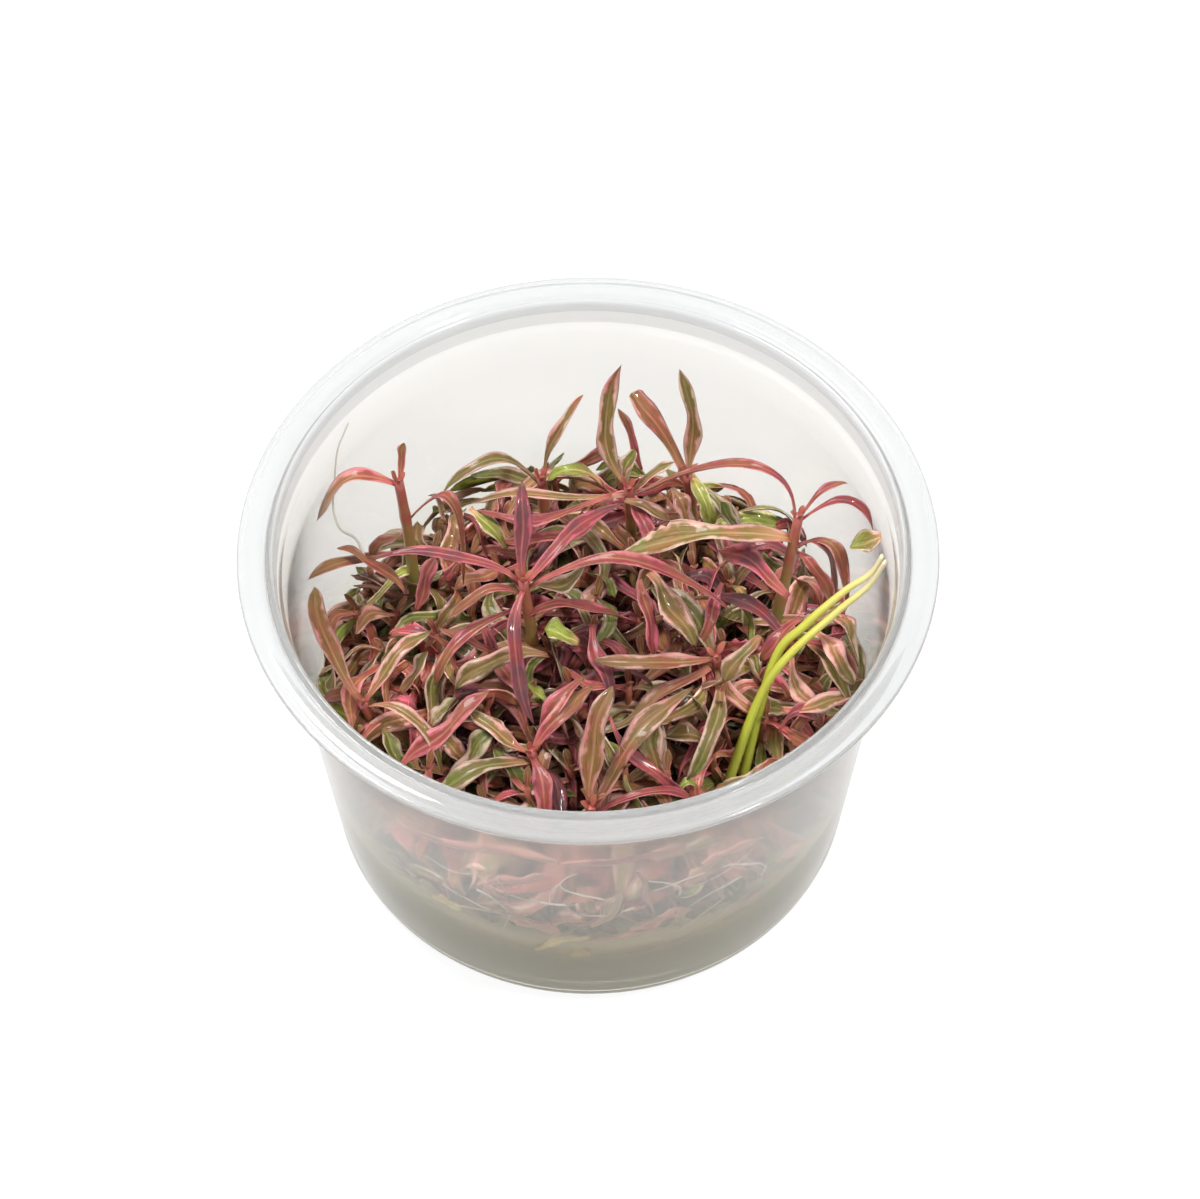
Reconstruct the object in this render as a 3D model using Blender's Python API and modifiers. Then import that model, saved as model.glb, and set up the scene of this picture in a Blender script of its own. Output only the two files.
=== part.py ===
"""A tub of tissue-cultured Hygrophila lancea: a clear plastic tub, the gel in it, and the shoots that fill it.

Metres, +Z up. The origin is the centre of the tub's foot. The shoots' front faces -Y.
"""

import math

import bmesh
import bpy
from mathutils import Vector

MM = 0.001

# The tub, in millimetres.
RIM_RADIUS = 50.0
TUB_HEIGHT = 61.6
WALL = 0.7
FOOT_RADIUS = 38.7  # outside, just above the foot's rounded corner
SHOULDER_RADIUS = 44.5  # outside, just below the shoulder under the rim
SHOULDER_HEIGHT = 56.4
CORNER_HEIGHT = 3.0
FLOOR_TOP = 1.2
TUB_STEPS = 56

# The gel, in millimetres. Its skin dips in the middle and climbs the wall in three places.
GAP = 0.3
GEL_LEVEL = 19.0
GEL_RINGS = 7
GEL_STEPS = 48

# The shoots, in millimetres.
STEM_RADIUS = 1.0
STEM_POINTS = 5
STEM_DEPTH_IN_GEL = 6.0
BLADE_THICKNESS = 0.45
BLADE_STEPS = 6
BLADE_KEEL = 0.3  # how far the midrib lies under the edges, as a share of half the width
PETIOLE_SHARE = 0.34
TIP_SHARE = 0.14
CLEARANCE = 0.35

# The thicket of small leaves between the gel and the named leaves, in millimetres.
THICKET_RINGS = 9
THICKET_STEPS = 40
THICKET_TOP = 35.0
THICKET_DROP = 6.0
THICKET_SWELL = 3.0  # how much higher it stands round the middle
THICKET_SWELL_WIDTH = 17.0
THICKET_CROWN = (4.0, 6.0)
THICKET_WALL_GAP = 1.6
THICKET_LIFT = 0.7  # above the gel, so that facets of the two never meet
THICKET_REACH = 3.6  # how far round a named leaf the mound is held down
THICKET_ROOM = 1.3  # how far under a named leaf it is held

# Each shoot stands on the gel at its foot and ends at its top, (x, y) and (x, y, z). A leaf is
# name, height of its node on the stem, crown (the middle of its midrib), tip, width, roll in degrees, colour.
SHOOTS = {
    "left": {
        "foot": (-26.5, 15.0),
        "top": (-27.5, 16.0, 56.0),
        "leaves": [
            ("arching_out", 55.4, (-34.6, 15.0, 57.6), (-39.6, 13.4, 50.0), 3.3, 0, "rose"),
            ("arching_in", 47.0, (-20.0, 17.0, 50.0), (-18.5, 10.5, 38.0), 2.2, 0, "rose"),
            ("young", 55.6, (-27.0, 18.8, 58.5), (-26.6, 19.6, 60.4), 1.7, 0, "rose"),
            ("low", 39.0, (-35.0, 10.5, 44.5), (-41.0, 6.4, 45.0), 2.4, 0, "rose"),
        ],
    },
    "centre": {
        "foot": (-8.5, 1.0),
        "top": (-9.5, 3.0, 49.0),
        "leaves": [
            ("rising_back", 48.6, (-9.7, 8.8, 53.4), (-9.5, 15.0, 57.0), 2.7, 0, "plum"),
            ("back_right", 48.0, (-2.6, 10.0, 51.0), (5.0, 16.0, 50.2), 2.7, 0, "rose"),
            ("right", 47.4, (7.0, 4.4, 51.4), (21.0, 0.5, 44.0), 3.0, 0, "rose"),
            ("left_long", 48.4, (-19.5, 6.5, 51.4), (-31.5, 7.0, 49.0), 2.4, 0, "rose"),
            ("left_low", 46.0, (-15.0, 2.0, 47.6), (-20.5, -0.2, 44.0), 2.1, 0, "plum"),
            ("hanging", 47.6, (-11.0, -6.6, 43.6), (-8.0, -14.4, 37.6), 2.6, 0, "plum"),
            ("magenta", 43.6, (-18.6, -2.6, 42.0), (-22.5, -6.6, 36.4), 2.5, 0, "rose"),
        ],
    },
    "right": {
        "foot": (22.8, 1.4),
        "top": (30.5, 10.0, 55.0),
        "leaves": [
            ("arching_left", 54.4, (23.5, 16.5, 59.2), (6.6, 16.4, 51.6), 3.3, 0, "rose"),
            ("arching_right", 54.0, (37.8, 11.2, 56.8), (41.3, 8.8, 52.9), 1.9, 0, "rose"),
            ("young", 54.6, (34.6, 13.2, 57.2), (37.6, 13.6, 57.8), 1.5, 0, "rose"),
            ("low_right", 49.6, (36.0, 6.8, 50.4), (37.6, 2.4, 42.0), 2.4, 0, "rose"),
            ("low_left", 50.6, (16.6, 9.4, 51.8), (3.4, 8.8, 46.0), 4.5, 0, "green"),
        ],
    },
    "back": {
        "foot": (5.2, 22.5),
        "top": (6.0, 24.0, 43.6),
        "leaves": [
            ("tall", 43.2, (2.5, 30.5, 50.5), (5.0, 34.5, 59.5), 3.0, 0, "olive"),
            ("pale_left", 41.8, (-9.0, 22.0, 44.2), (-17.5, 22.6, 42.0), 2.4, 0, "pale"),
            ("pale_right", 42.0, (9.6, 25.4, 45.0), (12.8, 26.2, 46.8), 2.4, 0, "pale"),
            ("front", 41.4, (8.6, 17.5, 42.6), (10.0, 13.0, 38.0), 3.0, 0, "plum"),
        ],
    },
    "back_left": {
        "foot": (-7.5, 25.0),
        "top": (-7.0, 26.5, 43.0),
        "leaves": [
            ("slim", 42.6, (-4.5, 29.0, 51.0), (-0.6, 31.4, 56.4), 2.2, 0, "olive"),
            ("arch", 42.0, (-14.5, 25.6, 48.4), (-21.4, 22.6, 44.6), 2.3, 0, "olive"),
        ],
    },
    "back_right": {
        "foot": (15.5, 24.5),
        "top": (14.8, 26.0, 44.0),
        "leaves": [
            ("tall", 43.6, (15.2, 30.0, 52.0), (13.6, 33.6, 59.5), 3.0, 0, "pale"),
            ("rounded", 43.0, (9.6, 31.6, 50.6), (6.6, 34.4, 53.0), 3.4, 0, "amber"),
            ("right", 42.0, (19.8, 21.5, 43.0), (23.0, 18.4, 39.0), 2.4, 0, "green"),
        ],
    },
    "front_left": {
        "foot": (-30.5, -8.0),
        "top": (-33.0, -9.5, 36.5),
        "leaves": [
            ("rising", 36.0, (-38.2, -3.0, 42.0), (-39.8, 3.2, 47.6), 3.9, 0, "amber"),
            ("arching", 35.6, (-25.0, -13.0, 37.6), (-21.5, -18.6, 31.0), 2.6, 0, "rose"),
            ("yellow", 36.0, (-28.5, -5.6, 41.6), (-23.0, -0.6, 41.6), 2.9, 0, "pale"),
        ],
    },
    "front": {
        "foot": (-7.5, -16.5),
        "top": (-8.5, -18.0, 36.0),
        "leaves": [
            ("magenta", 35.6, (-4.4, -13.6, 39.0), (0.5, -8.8, 39.0), 3.3, 0, "rose"),
            ("down", 35.2, (-6.9, -23.6, 34.8), (-6.2, -27.8, 31.0), 3.3, 0, "plum"),
            ("left", 33.6, (-16.5, -21.4, 35.8), (-23.0, -23.0, 31.6), 3.6, 0, "amber"),
            ("green", 35.4, (-13.5, -15.8, 37.6), (-17.5, -11.5, 37.4), 3.0, 0, "green"),
        ],
    },
    "front_right": {
        "foot": (0.5, -24.0),
        "top": (0.0, -26.0, 33.0),
        "leaves": [
            ("upright", 32.8, (0.2, -19.6, 40.2), (3.4, -12.6, 44.6), 3.5, 0, "pale"),
            ("slanting", 31.0, (9.4, -23.4, 34.0), (15.0, -24.4, 31.6), 2.2, 0, "rose"),
            ("glossy", 32.4, (7.0, -17.6, 38.4), (15.0, -9.6, 40.0), 3.4, 0, "green"),
        ],
    },
    "right_front": {
        "foot": (18.0, -4.0),
        "top": (18.5, -3.5, 39.0),
        "leaves": [
            ("plum_left", 38.6, (10.5, -7.0, 42.2), (0.5, -5.5, 41.0), 3.3, 0, "plum"),
            ("broad", 38.2, (14.6, 1.2, 43.2), (9.0, 6.4, 42.6), 4.4, 0, "green"),
            ("front", 36.6, (18.0, -15.6, 37.0), (14.0, -20.6, 32.0), 3.2, 0, "green"),
        ],
    },
    "right_back": {
        "foot": (28.5, -1.0),
        "top": (29.5, -0.6, 39.0),
        "leaves": [
            ("out", 38.6, (36.0, -4.6, 41.4), (38.8, -7.4, 38.0), 3.2, 0, "rose"),
            ("left", 37.6, (24.4, 3.2, 41.4), (18.8, 6.6, 40.0), 2.8, 0, "plum"),
            ("pink", 35.6, (31.0, -9.0, 37.2), (36.6, -10.6, 34.6), 3.0, 0, "pale"),
        ],
    },
}

# Long pale strands that climb the right wall, and the spoon-shaped leaf at their end, in millimetres.
STRAND_RADIUS = 1.0
STRAND_TAPER = 0.5
STRANDS = {
    "strand_outer": [(18.5, -19, 18), (19.5, -17, 26), (24.0, -9.5, 36), (28.5, -6.2, 42), (36.0, -1.4, 47), (40.4, 0.2, 51), (42.7, 1.2, 55.6)],
    "strand_inner": [(23.0, -17, 18), (23.6, -15, 26), (27.6, -5.2, 40), (31.4, -2.5, 45.0), (37.0, 0.6, 49.2), (40.6, 1.6, 52), (42.3, 2.5, 55.2)],
}
SPOON = ((42.2, 5.7, 55.4), (40.6, 5.4, 55.0), (37.8, 5.6, 53.2), 4.0)

COLOURS = {
    "rose": (0.42, 0.10, 0.13),
    "plum": (0.27, 0.08, 0.11),
    "green": (0.22, 0.22, 0.09),
    "olive": (0.30, 0.26, 0.13),
    "pale": (0.55, 0.40, 0.30),
    "amber": (0.38, 0.19, 0.10),
}


def clear_scene():
    for obj in list(bpy.data.objects):
        bpy.data.objects.remove(obj)


def material(name, colour, roughness, alpha=1.0, transmission=0.0):
    made = bpy.data.materials.get(name)
    if made:
        return made
    made = bpy.data.materials.new(name)
    made.use_nodes = True
    shader = made.node_tree.nodes["Principled BSDF"]
    shader.inputs["Base Color"].default_value = (*colour, 1.0)
    shader.inputs["Roughness"].default_value = roughness
    shader.inputs["Metallic"].default_value = 0.0
    shader.inputs["Alpha"].default_value = alpha
    shader.inputs["Transmission Weight"].default_value = transmission
    return made


def collection(name, hidden=False):
    made = bpy.data.collections.new(name)
    bpy.context.scene.collection.children.link(made)
    made.hide_render = hidden
    return made


def placed(name, mesh, folder, finish=None):
    """One object of this mesh, in the folder, with its material."""
    obj = bpy.data.objects.new(name, mesh)
    folder.objects.link(obj)
    if finish:
        mesh.materials.append(finish)
    return obj


def as_cutter(obj):
    obj.hide_render = True
    obj.display_type = "WIRE"
    return obj


def evaluated_copy(obj):
    """The object's mesh with its modifiers applied."""
    graph = bpy.context.evaluated_depsgraph_get()
    return bpy.data.meshes.new_from_object(obj.evaluated_get(graph))


def outer_radius(height):
    """The tub wall's outside radius at a height, both in millimetres."""
    share = (height - CORNER_HEIGHT) / (SHOULDER_HEIGHT - CORNER_HEIGHT)
    return FOOT_RADIUS + (SHOULDER_RADIUS - FOOT_RADIUS) * share


def inner_radius(height):
    return outer_radius(height) - WALL


def tub_section():
    """The tub's section in millimetres: out along the floor, up the inside, over the rim, down the outside."""
    inside = [
        (0.0, FLOOR_TOP),
        (FOOT_RADIUS - 3.4, FLOOR_TOP),
        (FOOT_RADIUS - 1.7, FLOOR_TOP + 0.6),
        (inner_radius(CORNER_HEIGHT + 0.6), CORNER_HEIGHT + 0.6),
        (inner_radius(SHOULDER_HEIGHT), SHOULDER_HEIGHT),
        (SHOULDER_RADIUS + 0.1, SHOULDER_HEIGHT + 1.0),
    ]
    rim = [
        (SHOULDER_RADIUS + 0.4, TUB_HEIGHT - 0.4),
        (SHOULDER_RADIUS + 1.0, TUB_HEIGHT),
        (SHOULDER_RADIUS + 1.6, TUB_HEIGHT - 0.5),
        (SHOULDER_RADIUS + 2.1, TUB_HEIGHT - 1.0),
        (SHOULDER_RADIUS + 2.8, TUB_HEIGHT - 0.6),
        (RIM_RADIUS - 1.2, TUB_HEIGHT - 0.7),
        (RIM_RADIUS, TUB_HEIGHT - 1.6),
        (RIM_RADIUS - 0.1, TUB_HEIGHT - 2.8),
        (RIM_RADIUS - 0.8, TUB_HEIGHT - 2.8),
        (RIM_RADIUS - 1.1, TUB_HEIGHT - 1.8),
        (SHOULDER_RADIUS + 1.6, TUB_HEIGHT - 2.0),
    ]
    outside = [
        (SHOULDER_RADIUS + 0.8, SHOULDER_HEIGHT + 0.6),
        (SHOULDER_RADIUS, SHOULDER_HEIGHT - 0.2),
        (FOOT_RADIUS, CORNER_HEIGHT),
        (FOOT_RADIUS - 0.8, CORNER_HEIGHT - 1.9),
        (FOOT_RADIUS - 2.6, 0.0),
        (0.0, 0.0),
    ]
    return inside + rim + outside


def turned(name, section, steps, folder, finish=None):
    """A section in millimetres turned round Z with a Screw."""
    mesh = bpy.data.meshes.new(name)
    points = [(r * MM, 0.0, z * MM) for r, z in section]
    mesh.from_pydata(points, [(i, i + 1) for i in range(len(points) - 1)], [])
    obj = placed(name, mesh, folder, finish)
    screw = obj.modifiers.new("Turn", "SCREW")
    screw.axis = "Z"
    screw.steps = steps
    screw.render_steps = steps
    screw.use_merge_vertices = True
    screw.merge_threshold = 0.0001
    screw.use_smooth_shade = True
    return obj


def make_tub(folder):
    return turned("tub", tub_section(), TUB_STEPS, folder, material("clear_plastic", (0.86, 0.87, 0.86), 0.15, 0.4, 0.9))


def gel_top(x, y):
    """Height of the gel's skin over a point, all in millimetres."""
    out = math.hypot(x, y) / inner_radius(GEL_LEVEL)
    turn = math.atan2(y, x)
    swell = 0.9 * math.sin(0.23 * x + 1.0) * math.cos(0.19 * y - 0.6)
    climb_right = 8.0 * math.exp(-((turn - 0.05) / 0.33) ** 2)
    climb_left = 3.0 * math.exp(-((abs(turn) - 2.5) / 0.3) ** 2)
    return GEL_LEVEL + swell + (climb_right + climb_left) * max(0.0, out - 0.45) ** 2 / 0.3


def gel_blank(folder):
    """The gel with a flat skin: a turned plug that fills the tub with a gap all round."""
    floor = FLOOR_TOP + GAP
    edge = inner_radius(GEL_LEVEL) - GAP
    rings = [(edge * (i + 1) / GEL_RINGS, GEL_LEVEL) for i in range(GEL_RINGS)]
    section = [(0.0, GEL_LEVEL)] + rings
    section += [
        (inner_radius(8.0) - GAP, 8.0),
        (inner_radius(CORNER_HEIGHT + 1.0) - GAP, CORNER_HEIGHT + 1.0),
        (FOOT_RADIUS - 1.9 - GAP, FLOOR_TOP + 1.0),
        (FOOT_RADIUS - 3.6 - GAP, floor),
        (0.0, floor),
    ]
    return turned("gel_blank", section, GEL_STEPS, folder)


def make_gel(folder, helpers, wells):
    """The gel: the blank with its skin moved to gel_top, less a well for each stem."""
    blank = gel_blank(helpers)
    mesh = evaluated_copy(blank)
    bpy.data.objects.remove(blank)
    for vertex in mesh.vertices:
        if vertex.co.z > (GEL_LEVEL - 0.01) * MM:
            x, y = vertex.co.x / MM, vertex.co.y / MM
            height = gel_top(x, y)
            grow = 1.0 + (inner_radius(height) - inner_radius(GEL_LEVEL)) / inner_radius(GEL_LEVEL)
            vertex.co = (vertex.co.x * grow, vertex.co.y * grow, height * MM)
    gel = placed("gel", mesh, folder, material("gel", (0.62, 0.62, 0.58), 0.2, 0.6, 0.8))
    cut(gel, wells)
    return gel


def cut(obj, cutters):
    """Takes every object of a collection away from obj."""
    boolean = obj.modifiers.new("Cut", "BOOLEAN")
    boolean.operation = "DIFFERENCE"
    boolean.solver = "EXACT"
    boolean.operand_type = "COLLECTION"
    boolean.collection = cutters


def tube(name, points, radius, folder, finish=None, taper=0.0):
    """A tube along points in millimetres. taper is how much thinner it is at its far end."""
    curve = bpy.data.curves.new(name, "CURVE")
    curve.dimensions = "3D"
    curve.bevel_depth = radius * MM
    curve.bevel_resolution = 2
    curve.use_fill_caps = True
    spline = curve.splines.new("POLY")
    spline.points.add(len(points) - 1)
    for i, (point, place) in enumerate(zip(spline.points, points)):
        point.co = (*(Vector(place) * MM), 1.0)
        point.radius = 1.0 - taper * i / (len(points) - 1)
    obj = bpy.data.objects.new(name, curve)
    folder.objects.link(obj)
    if finish:
        curve.materials.append(finish)
    return obj


def welded(obj, folder):
    """A tube as one closed mesh, in place of the curve."""
    mesh = evaluated_copy(obj)
    bm = bmesh.new()
    bm.from_mesh(mesh)
    bmesh.ops.remove_doubles(bm, verts=bm.verts, dist=0.00001)
    bmesh.ops.recalc_face_normals(bm, faces=bm.faces)
    bm.to_mesh(mesh)
    bm.free()
    name = obj.name
    bpy.data.objects.remove(obj)
    made = bpy.data.objects.new(name, mesh)
    folder.objects.link(made)
    return made


def stem_place(shoot, height):
    """The point on a shoot's stem at a height, in millimetres: straight, with a slight bow."""
    foot, top = shoot["foot"], shoot["top"]
    low = GEL_LEVEL - STEM_DEPTH_IN_GEL
    share = (height - low) / (top[2] - low)
    bow = 0.8 * math.sin(math.pi * min(max(share, 0.0), 1.0))
    return Vector((foot[0] + (top[0] - foot[0]) * share + bow, foot[1] + (top[1] - foot[1]) * share, height))


def stem_points(shoot, extra=0.0):
    low = GEL_LEVEL - STEM_DEPTH_IN_GEL - extra
    high = shoot["top"][2] + extra
    return [stem_place(shoot, low + (high - low) * i / (STEM_POINTS - 1)) for i in range(STEM_POINTS)]


def blade_width(along):
    """Half the blade's width as a share of its widest: a slim stalk, a long swell and a drawn-out tip."""
    if along < 0.4:
        rise = along / 0.4
        return PETIOLE_SHARE + (1.0 - PETIOLE_SHARE) * rise * rise * (3.0 - 2.0 * rise)
    fall = (along - 0.4) / 0.6
    return max(TIP_SHARE, (1.0 - fall**2.2) ** 0.8)


def midrib(start, crown, tip, along):
    """A point on the midrib and its direction. The midrib passes through the crown halfway along."""
    bend = crown * 2.0 - (start + tip) * 0.5
    back = 1.0 - along
    place = start * back**2 + bend * (2.0 * back * along) + tip * along**2
    way = (bend - start) * back + (tip - bend) * along
    return place, way.normalized()


def blade_mesh(name, start, crown, tip, width, roll):
    """A folded blade along its midrib, in millimetres: three points across, closed by Solidify afterwards."""
    flat = Vector((tip.x - start.x, tip.y - start.y, 0.0))
    side = Vector((flat.y, -flat.x, 0.0)).normalized()
    bm = bmesh.new()
    bmesh.ops.create_grid(bm, x_segments=2, y_segments=BLADE_STEPS, size=1.0)
    for vertex in bm.verts:
        across, along = vertex.co.x, (vertex.co.y + 1.0) / 2.0
        place, way = midrib(start, crown, tip, along)
        up = side.cross(way).normalized()
        lean = math.radians(roll) * along
        over = side * math.cos(lean) + up * math.sin(lean)
        rise = way.cross(over) * -1.0
        half = width / 2.0 * blade_width(along)
        lift = half * BLADE_KEEL * (abs(across) - 0.5)
        vertex.co = (place + over * (across * half) + rise * lift) * MM
    mesh = bpy.data.meshes.new(name)
    bm.to_mesh(mesh)
    bm.free()
    return mesh


def blade(name, folder, start, crown, tip, width, roll, finish=None):
    mesh = blade_mesh(name, start, crown, tip, width, roll)
    obj = placed(name, mesh, folder, finish)
    skin = obj.modifiers.new("Thickness", "SOLIDIFY")
    skin.thickness = BLADE_THICKNESS * MM
    skin.offset = 0.0
    return obj


def leaf_start(shoot, height, crown):
    """Where a leaf begins: just clear of its stem, on the side that faces its crown."""
    centre = stem_place(shoot, height)
    out = Vector((crown.x - centre.x, crown.y - centre.y, 0.0)).normalized()
    return centre + out * (STEM_RADIUS + CLEARANCE + 0.1)


def make_shoots(folder, wells):
    """Every stem and named leaf, and a well cutter for each stem."""
    stem_finish = material("stem", (0.40, 0.22, 0.10), 0.45)
    for shoot_name, shoot in SHOOTS.items():
        tube(f"stem_{shoot_name}", stem_points(shoot), STEM_RADIUS, folder, stem_finish, 0.25)
        wide = tube(f"well_{shoot_name}", stem_points(shoot, 0.4), STEM_RADIUS + CLEARANCE, wells)
        as_cutter(welded(wide, wells))
        for name, height, crown, tip, width, roll, colour in shoot["leaves"]:
            crown, tip = Vector(crown), Vector(tip)
            start = leaf_start(shoot, height, crown)
            finish = material(f"leaf_{colour}", COLOURS[colour], 0.35)
            blade(f"leaf_{shoot_name}_{name}", folder, start, crown, tip, width, roll, finish)


def smooth_route(points, per_span):
    """Points on a Catmull-Rom curve through the given ones."""
    places = [Vector(p) for p in points]
    ends = [places[0] * 2 - places[1]] + places + [places[-1] * 2 - places[-2]]
    route = []
    for a, b, c, d in zip(ends, ends[1:], ends[2:], ends[3:]):
        for i in range(per_span):
            t = i / per_span
            bow = (2 * a - 5 * b + 4 * c - d) * t**2 + (3 * b - a - 3 * c + d) * t**3
            route.append((2 * b + (c - a) * t + bow) * 0.5)
    return route + [places[-1]]


def make_strands(folder, wells):
    finish = material("strand", (0.55, 0.60, 0.12), 0.4)
    for name, points in STRANDS.items():
        tube(name, smooth_route(points, 3), STRAND_RADIUS, folder, finish, STRAND_TAPER)
        foot = (points[0][0], points[0][1], points[0][2] - 0.5)
        wide = tube(f"well_{name}", smooth_route([foot] + points[1:], 3), STRAND_RADIUS + CLEARANCE, wells)
        as_cutter(welded(wide, wells))
    start, crown, tip, width = SPOON
    finish = material("leaf_pale", COLOURS["pale"], 0.35)
    blade("leaf_spoon", folder, Vector(start), Vector(crown), Vector(tip), width, 0, finish)


def leaf_points():
    """Points spread over every named leaf, in millimetres: (place, half its width there)."""
    points = []
    for shoot in SHOOTS.values():
        for _, height, crown, tip, width, _, _ in shoot["leaves"]:
            crown, tip = Vector(crown), Vector(tip)
            start = leaf_start(shoot, height, crown)
            for i in range(13):
                place, _ = midrib(start, crown, tip, i / 12.0)
                points.append((place, width / 2.0 * blade_width(i / 12.0)))
    return points


def thicket_top(x, y, low, leaves):
    """Height of the small leaves over a point, in millimetres: a rough mound, held down under the named leaves."""
    out = math.hypot(x, y) / inner_radius(THICKET_TOP)
    rough = 1.5 * math.sin(0.55 * x + 0.3 * y) + 1.2 * math.sin(0.48 * y - 0.35 * x + 2.0)
    away = math.hypot(x - THICKET_CROWN[0], y - THICKET_CROWN[1]) / THICKET_SWELL_WIDTH
    height = THICKET_TOP + rough - THICKET_DROP * out**4 + THICKET_SWELL * math.exp(-(away**2))
    for place, half in leaves:
        if math.hypot(place.x - x, place.y - y) < half + THICKET_REACH:
            height = min(height, place.z - THICKET_ROOM)
    return max(height, low + 1.5)


def thicket_blank(folder):
    """A mound on the gel: a turned plug whose top follows the leaves and whose underside follows the gel."""
    edge = inner_radius(GEL_LEVEL) - THICKET_WALL_GAP
    radii = [edge * (i + 1) / THICKET_RINGS for i in range(THICKET_RINGS)]
    section = [(0.0, THICKET_TOP)] + [(r, THICKET_TOP) for r in radii]
    section += [(r, GEL_LEVEL) for r in radii[8:0:-2]] + [(0.0, GEL_LEVEL)]
    blank = turned("thicket_blank", section, THICKET_STEPS, folder)
    mesh = evaluated_copy(blank)
    bpy.data.objects.remove(blank)
    leaves = leaf_points()
    for vertex in mesh.vertices:
        x, y = vertex.co.x / MM, vertex.co.y / MM
        low = gel_top(x, y) + THICKET_LIFT
        top = vertex.co.z > (THICKET_TOP - 0.01) * MM
        height = thicket_top(x, y, low, leaves) if top else low
        grow = inner_radius(height) / inner_radius(GEL_LEVEL)
        vertex.co = (vertex.co.x * grow, vertex.co.y * grow, height * MM)
    return mesh


def make_thicket(folder, helpers, wells):
    """The mound, with a well for each stem and strand."""
    thicket = placed("thicket", thicket_blank(helpers), folder, material("leaf_thicket", (0.30, 0.16, 0.10), 0.4))
    cut(thicket, wells)


def main():
    clear_scene()
    parts = collection("tissue_culture_tub")
    wells = collection("wells", hidden=True)
    make_tub(parts)
    make_shoots(parts, wells)
    make_strands(parts, wells)
    make_gel(parts, wells, wells)
    make_thicket(parts, wells, wells)


main()
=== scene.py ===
import math
import random

import bmesh
import bpy
from mathutils import Matrix, Vector, noise


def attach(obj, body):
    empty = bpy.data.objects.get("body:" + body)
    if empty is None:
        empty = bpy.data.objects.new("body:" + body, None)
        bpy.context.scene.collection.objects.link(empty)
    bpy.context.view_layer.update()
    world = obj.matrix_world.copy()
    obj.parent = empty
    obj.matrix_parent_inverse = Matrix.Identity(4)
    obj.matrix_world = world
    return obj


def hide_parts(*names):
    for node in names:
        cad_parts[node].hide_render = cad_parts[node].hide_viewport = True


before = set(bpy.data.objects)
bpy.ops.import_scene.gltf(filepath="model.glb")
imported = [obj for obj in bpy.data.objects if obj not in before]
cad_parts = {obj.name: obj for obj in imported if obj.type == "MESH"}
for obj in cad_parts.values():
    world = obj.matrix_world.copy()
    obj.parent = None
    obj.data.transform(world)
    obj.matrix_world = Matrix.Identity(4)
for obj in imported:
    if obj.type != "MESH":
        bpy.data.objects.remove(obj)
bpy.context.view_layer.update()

# Lengths of the pieces are in millimetres and are turned to metres where a mesh is made. The stage and the
# materials are in metres.
mm = 0.001
fullTurn = 2.0 * math.pi


# small helpers

def report(words):
    print("scene:", words)


def newMaterial(name):
    made = bpy.data.materials.new(name)
    made.use_nodes = True
    tree = made.node_tree
    return made, tree, tree.nodes["Principled BSDF"]


def addNode(tree, kind, **values):
    node = tree.nodes.new(kind)
    for key, value in values.items():
        setattr(node, key, value)
    return node


def fill(tree, node, values):
    # a node's output is linked to the socket, and a number or a colour is set on it
    for key, value in values.items():
        if isinstance(value, bpy.types.NodeSocket):
            tree.links.new(value, node.inputs[key])
        elif isinstance(value, tuple):
            node.inputs[key].default_value = (*value, 1.0)
        else:
            node.inputs[key].default_value = value


def calc(tree, operation, first, second=0.5, clamp=False):
    node = addNode(tree, "ShaderNodeMath", operation=operation, use_clamp=clamp)
    fill(tree, node, {0: first, 1: second})
    return node.outputs[0]


def plus(tree, first, second, clamp=False):
    return calc(tree, "ADD", first, second, clamp)


def times(tree, first, second):
    return calc(tree, "MULTIPLY", first, second)


def swing(tree, value, amount):
    # a noise turned to swing about nought
    return times(tree, calc(tree, "SUBTRACT", value, 0.5), amount)


def smoothRange(tree, value, low, high):
    node = addNode(tree, "ShaderNodeMapRange", interpolation_type="SMOOTHSTEP")
    fill(tree, node, {0: value, 1: low, 2: high})
    return node.outputs[0]


def blendColour(tree, factor, first, second, kind="MIX"):
    node = addNode(tree, "ShaderNodeMix", data_type="RGBA", blend_type=kind)
    fill(tree, node, {0: factor, 6: first, 7: second})
    return node.outputs[2]


def colourRamp(tree, value, stops):
    node = addNode(tree, "ShaderNodeValToRGB")
    ramp = node.color_ramp
    while len(ramp.elements) < len(stops):
        ramp.elements.new(0.5)
    for element, (place, colour) in zip(ramp.elements, stops):
        element.position = place
        element.color = (*colour, 1.0)
    tree.links.new(value, node.inputs[0])
    return node.outputs[0]


def noiseOf(tree, coordinates, scale, detail=2.0, roughness=0.5):
    node = addNode(tree, "ShaderNodeTexNoise")
    fill(tree, node, {"Vector": coordinates, "Scale": scale, "Detail": detail, "Roughness": roughness})
    return node.outputs[0]


def bumpOf(tree, height, strength, distance):
    node = addNode(tree, "ShaderNodeBump")
    fill(tree, node, {"Height": height, "Strength": strength, "Distance": distance})
    return node.outputs[0]


def objectPlace(tree):
    return addNode(tree, "ShaderNodeTexCoord").outputs["Object"]


def bladePlace(tree):
    return addNode(tree, "ShaderNodeUVMap", uv_map="UVMap").outputs[0]


def partsOf(tree, value, kind="ShaderNodeSeparateXYZ"):
    node = addNode(tree, kind)
    tree.links.new(value, node.inputs[0])
    return tuple(node.outputs)[:3]


def toneOf(tree):
    tone = addNode(tree, "ShaderNodeAttribute", attribute_name="tone")
    return partsOf(tree, tone.outputs["Color"], "ShaderNodeSeparateColor")


def stretched(tree, coordinates, scale):
    node = addNode(tree, "ShaderNodeMapping")
    tree.links.new(coordinates, node.inputs[0])
    node.inputs["Scale"].default_value = scale
    return node.outputs[0]


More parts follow.
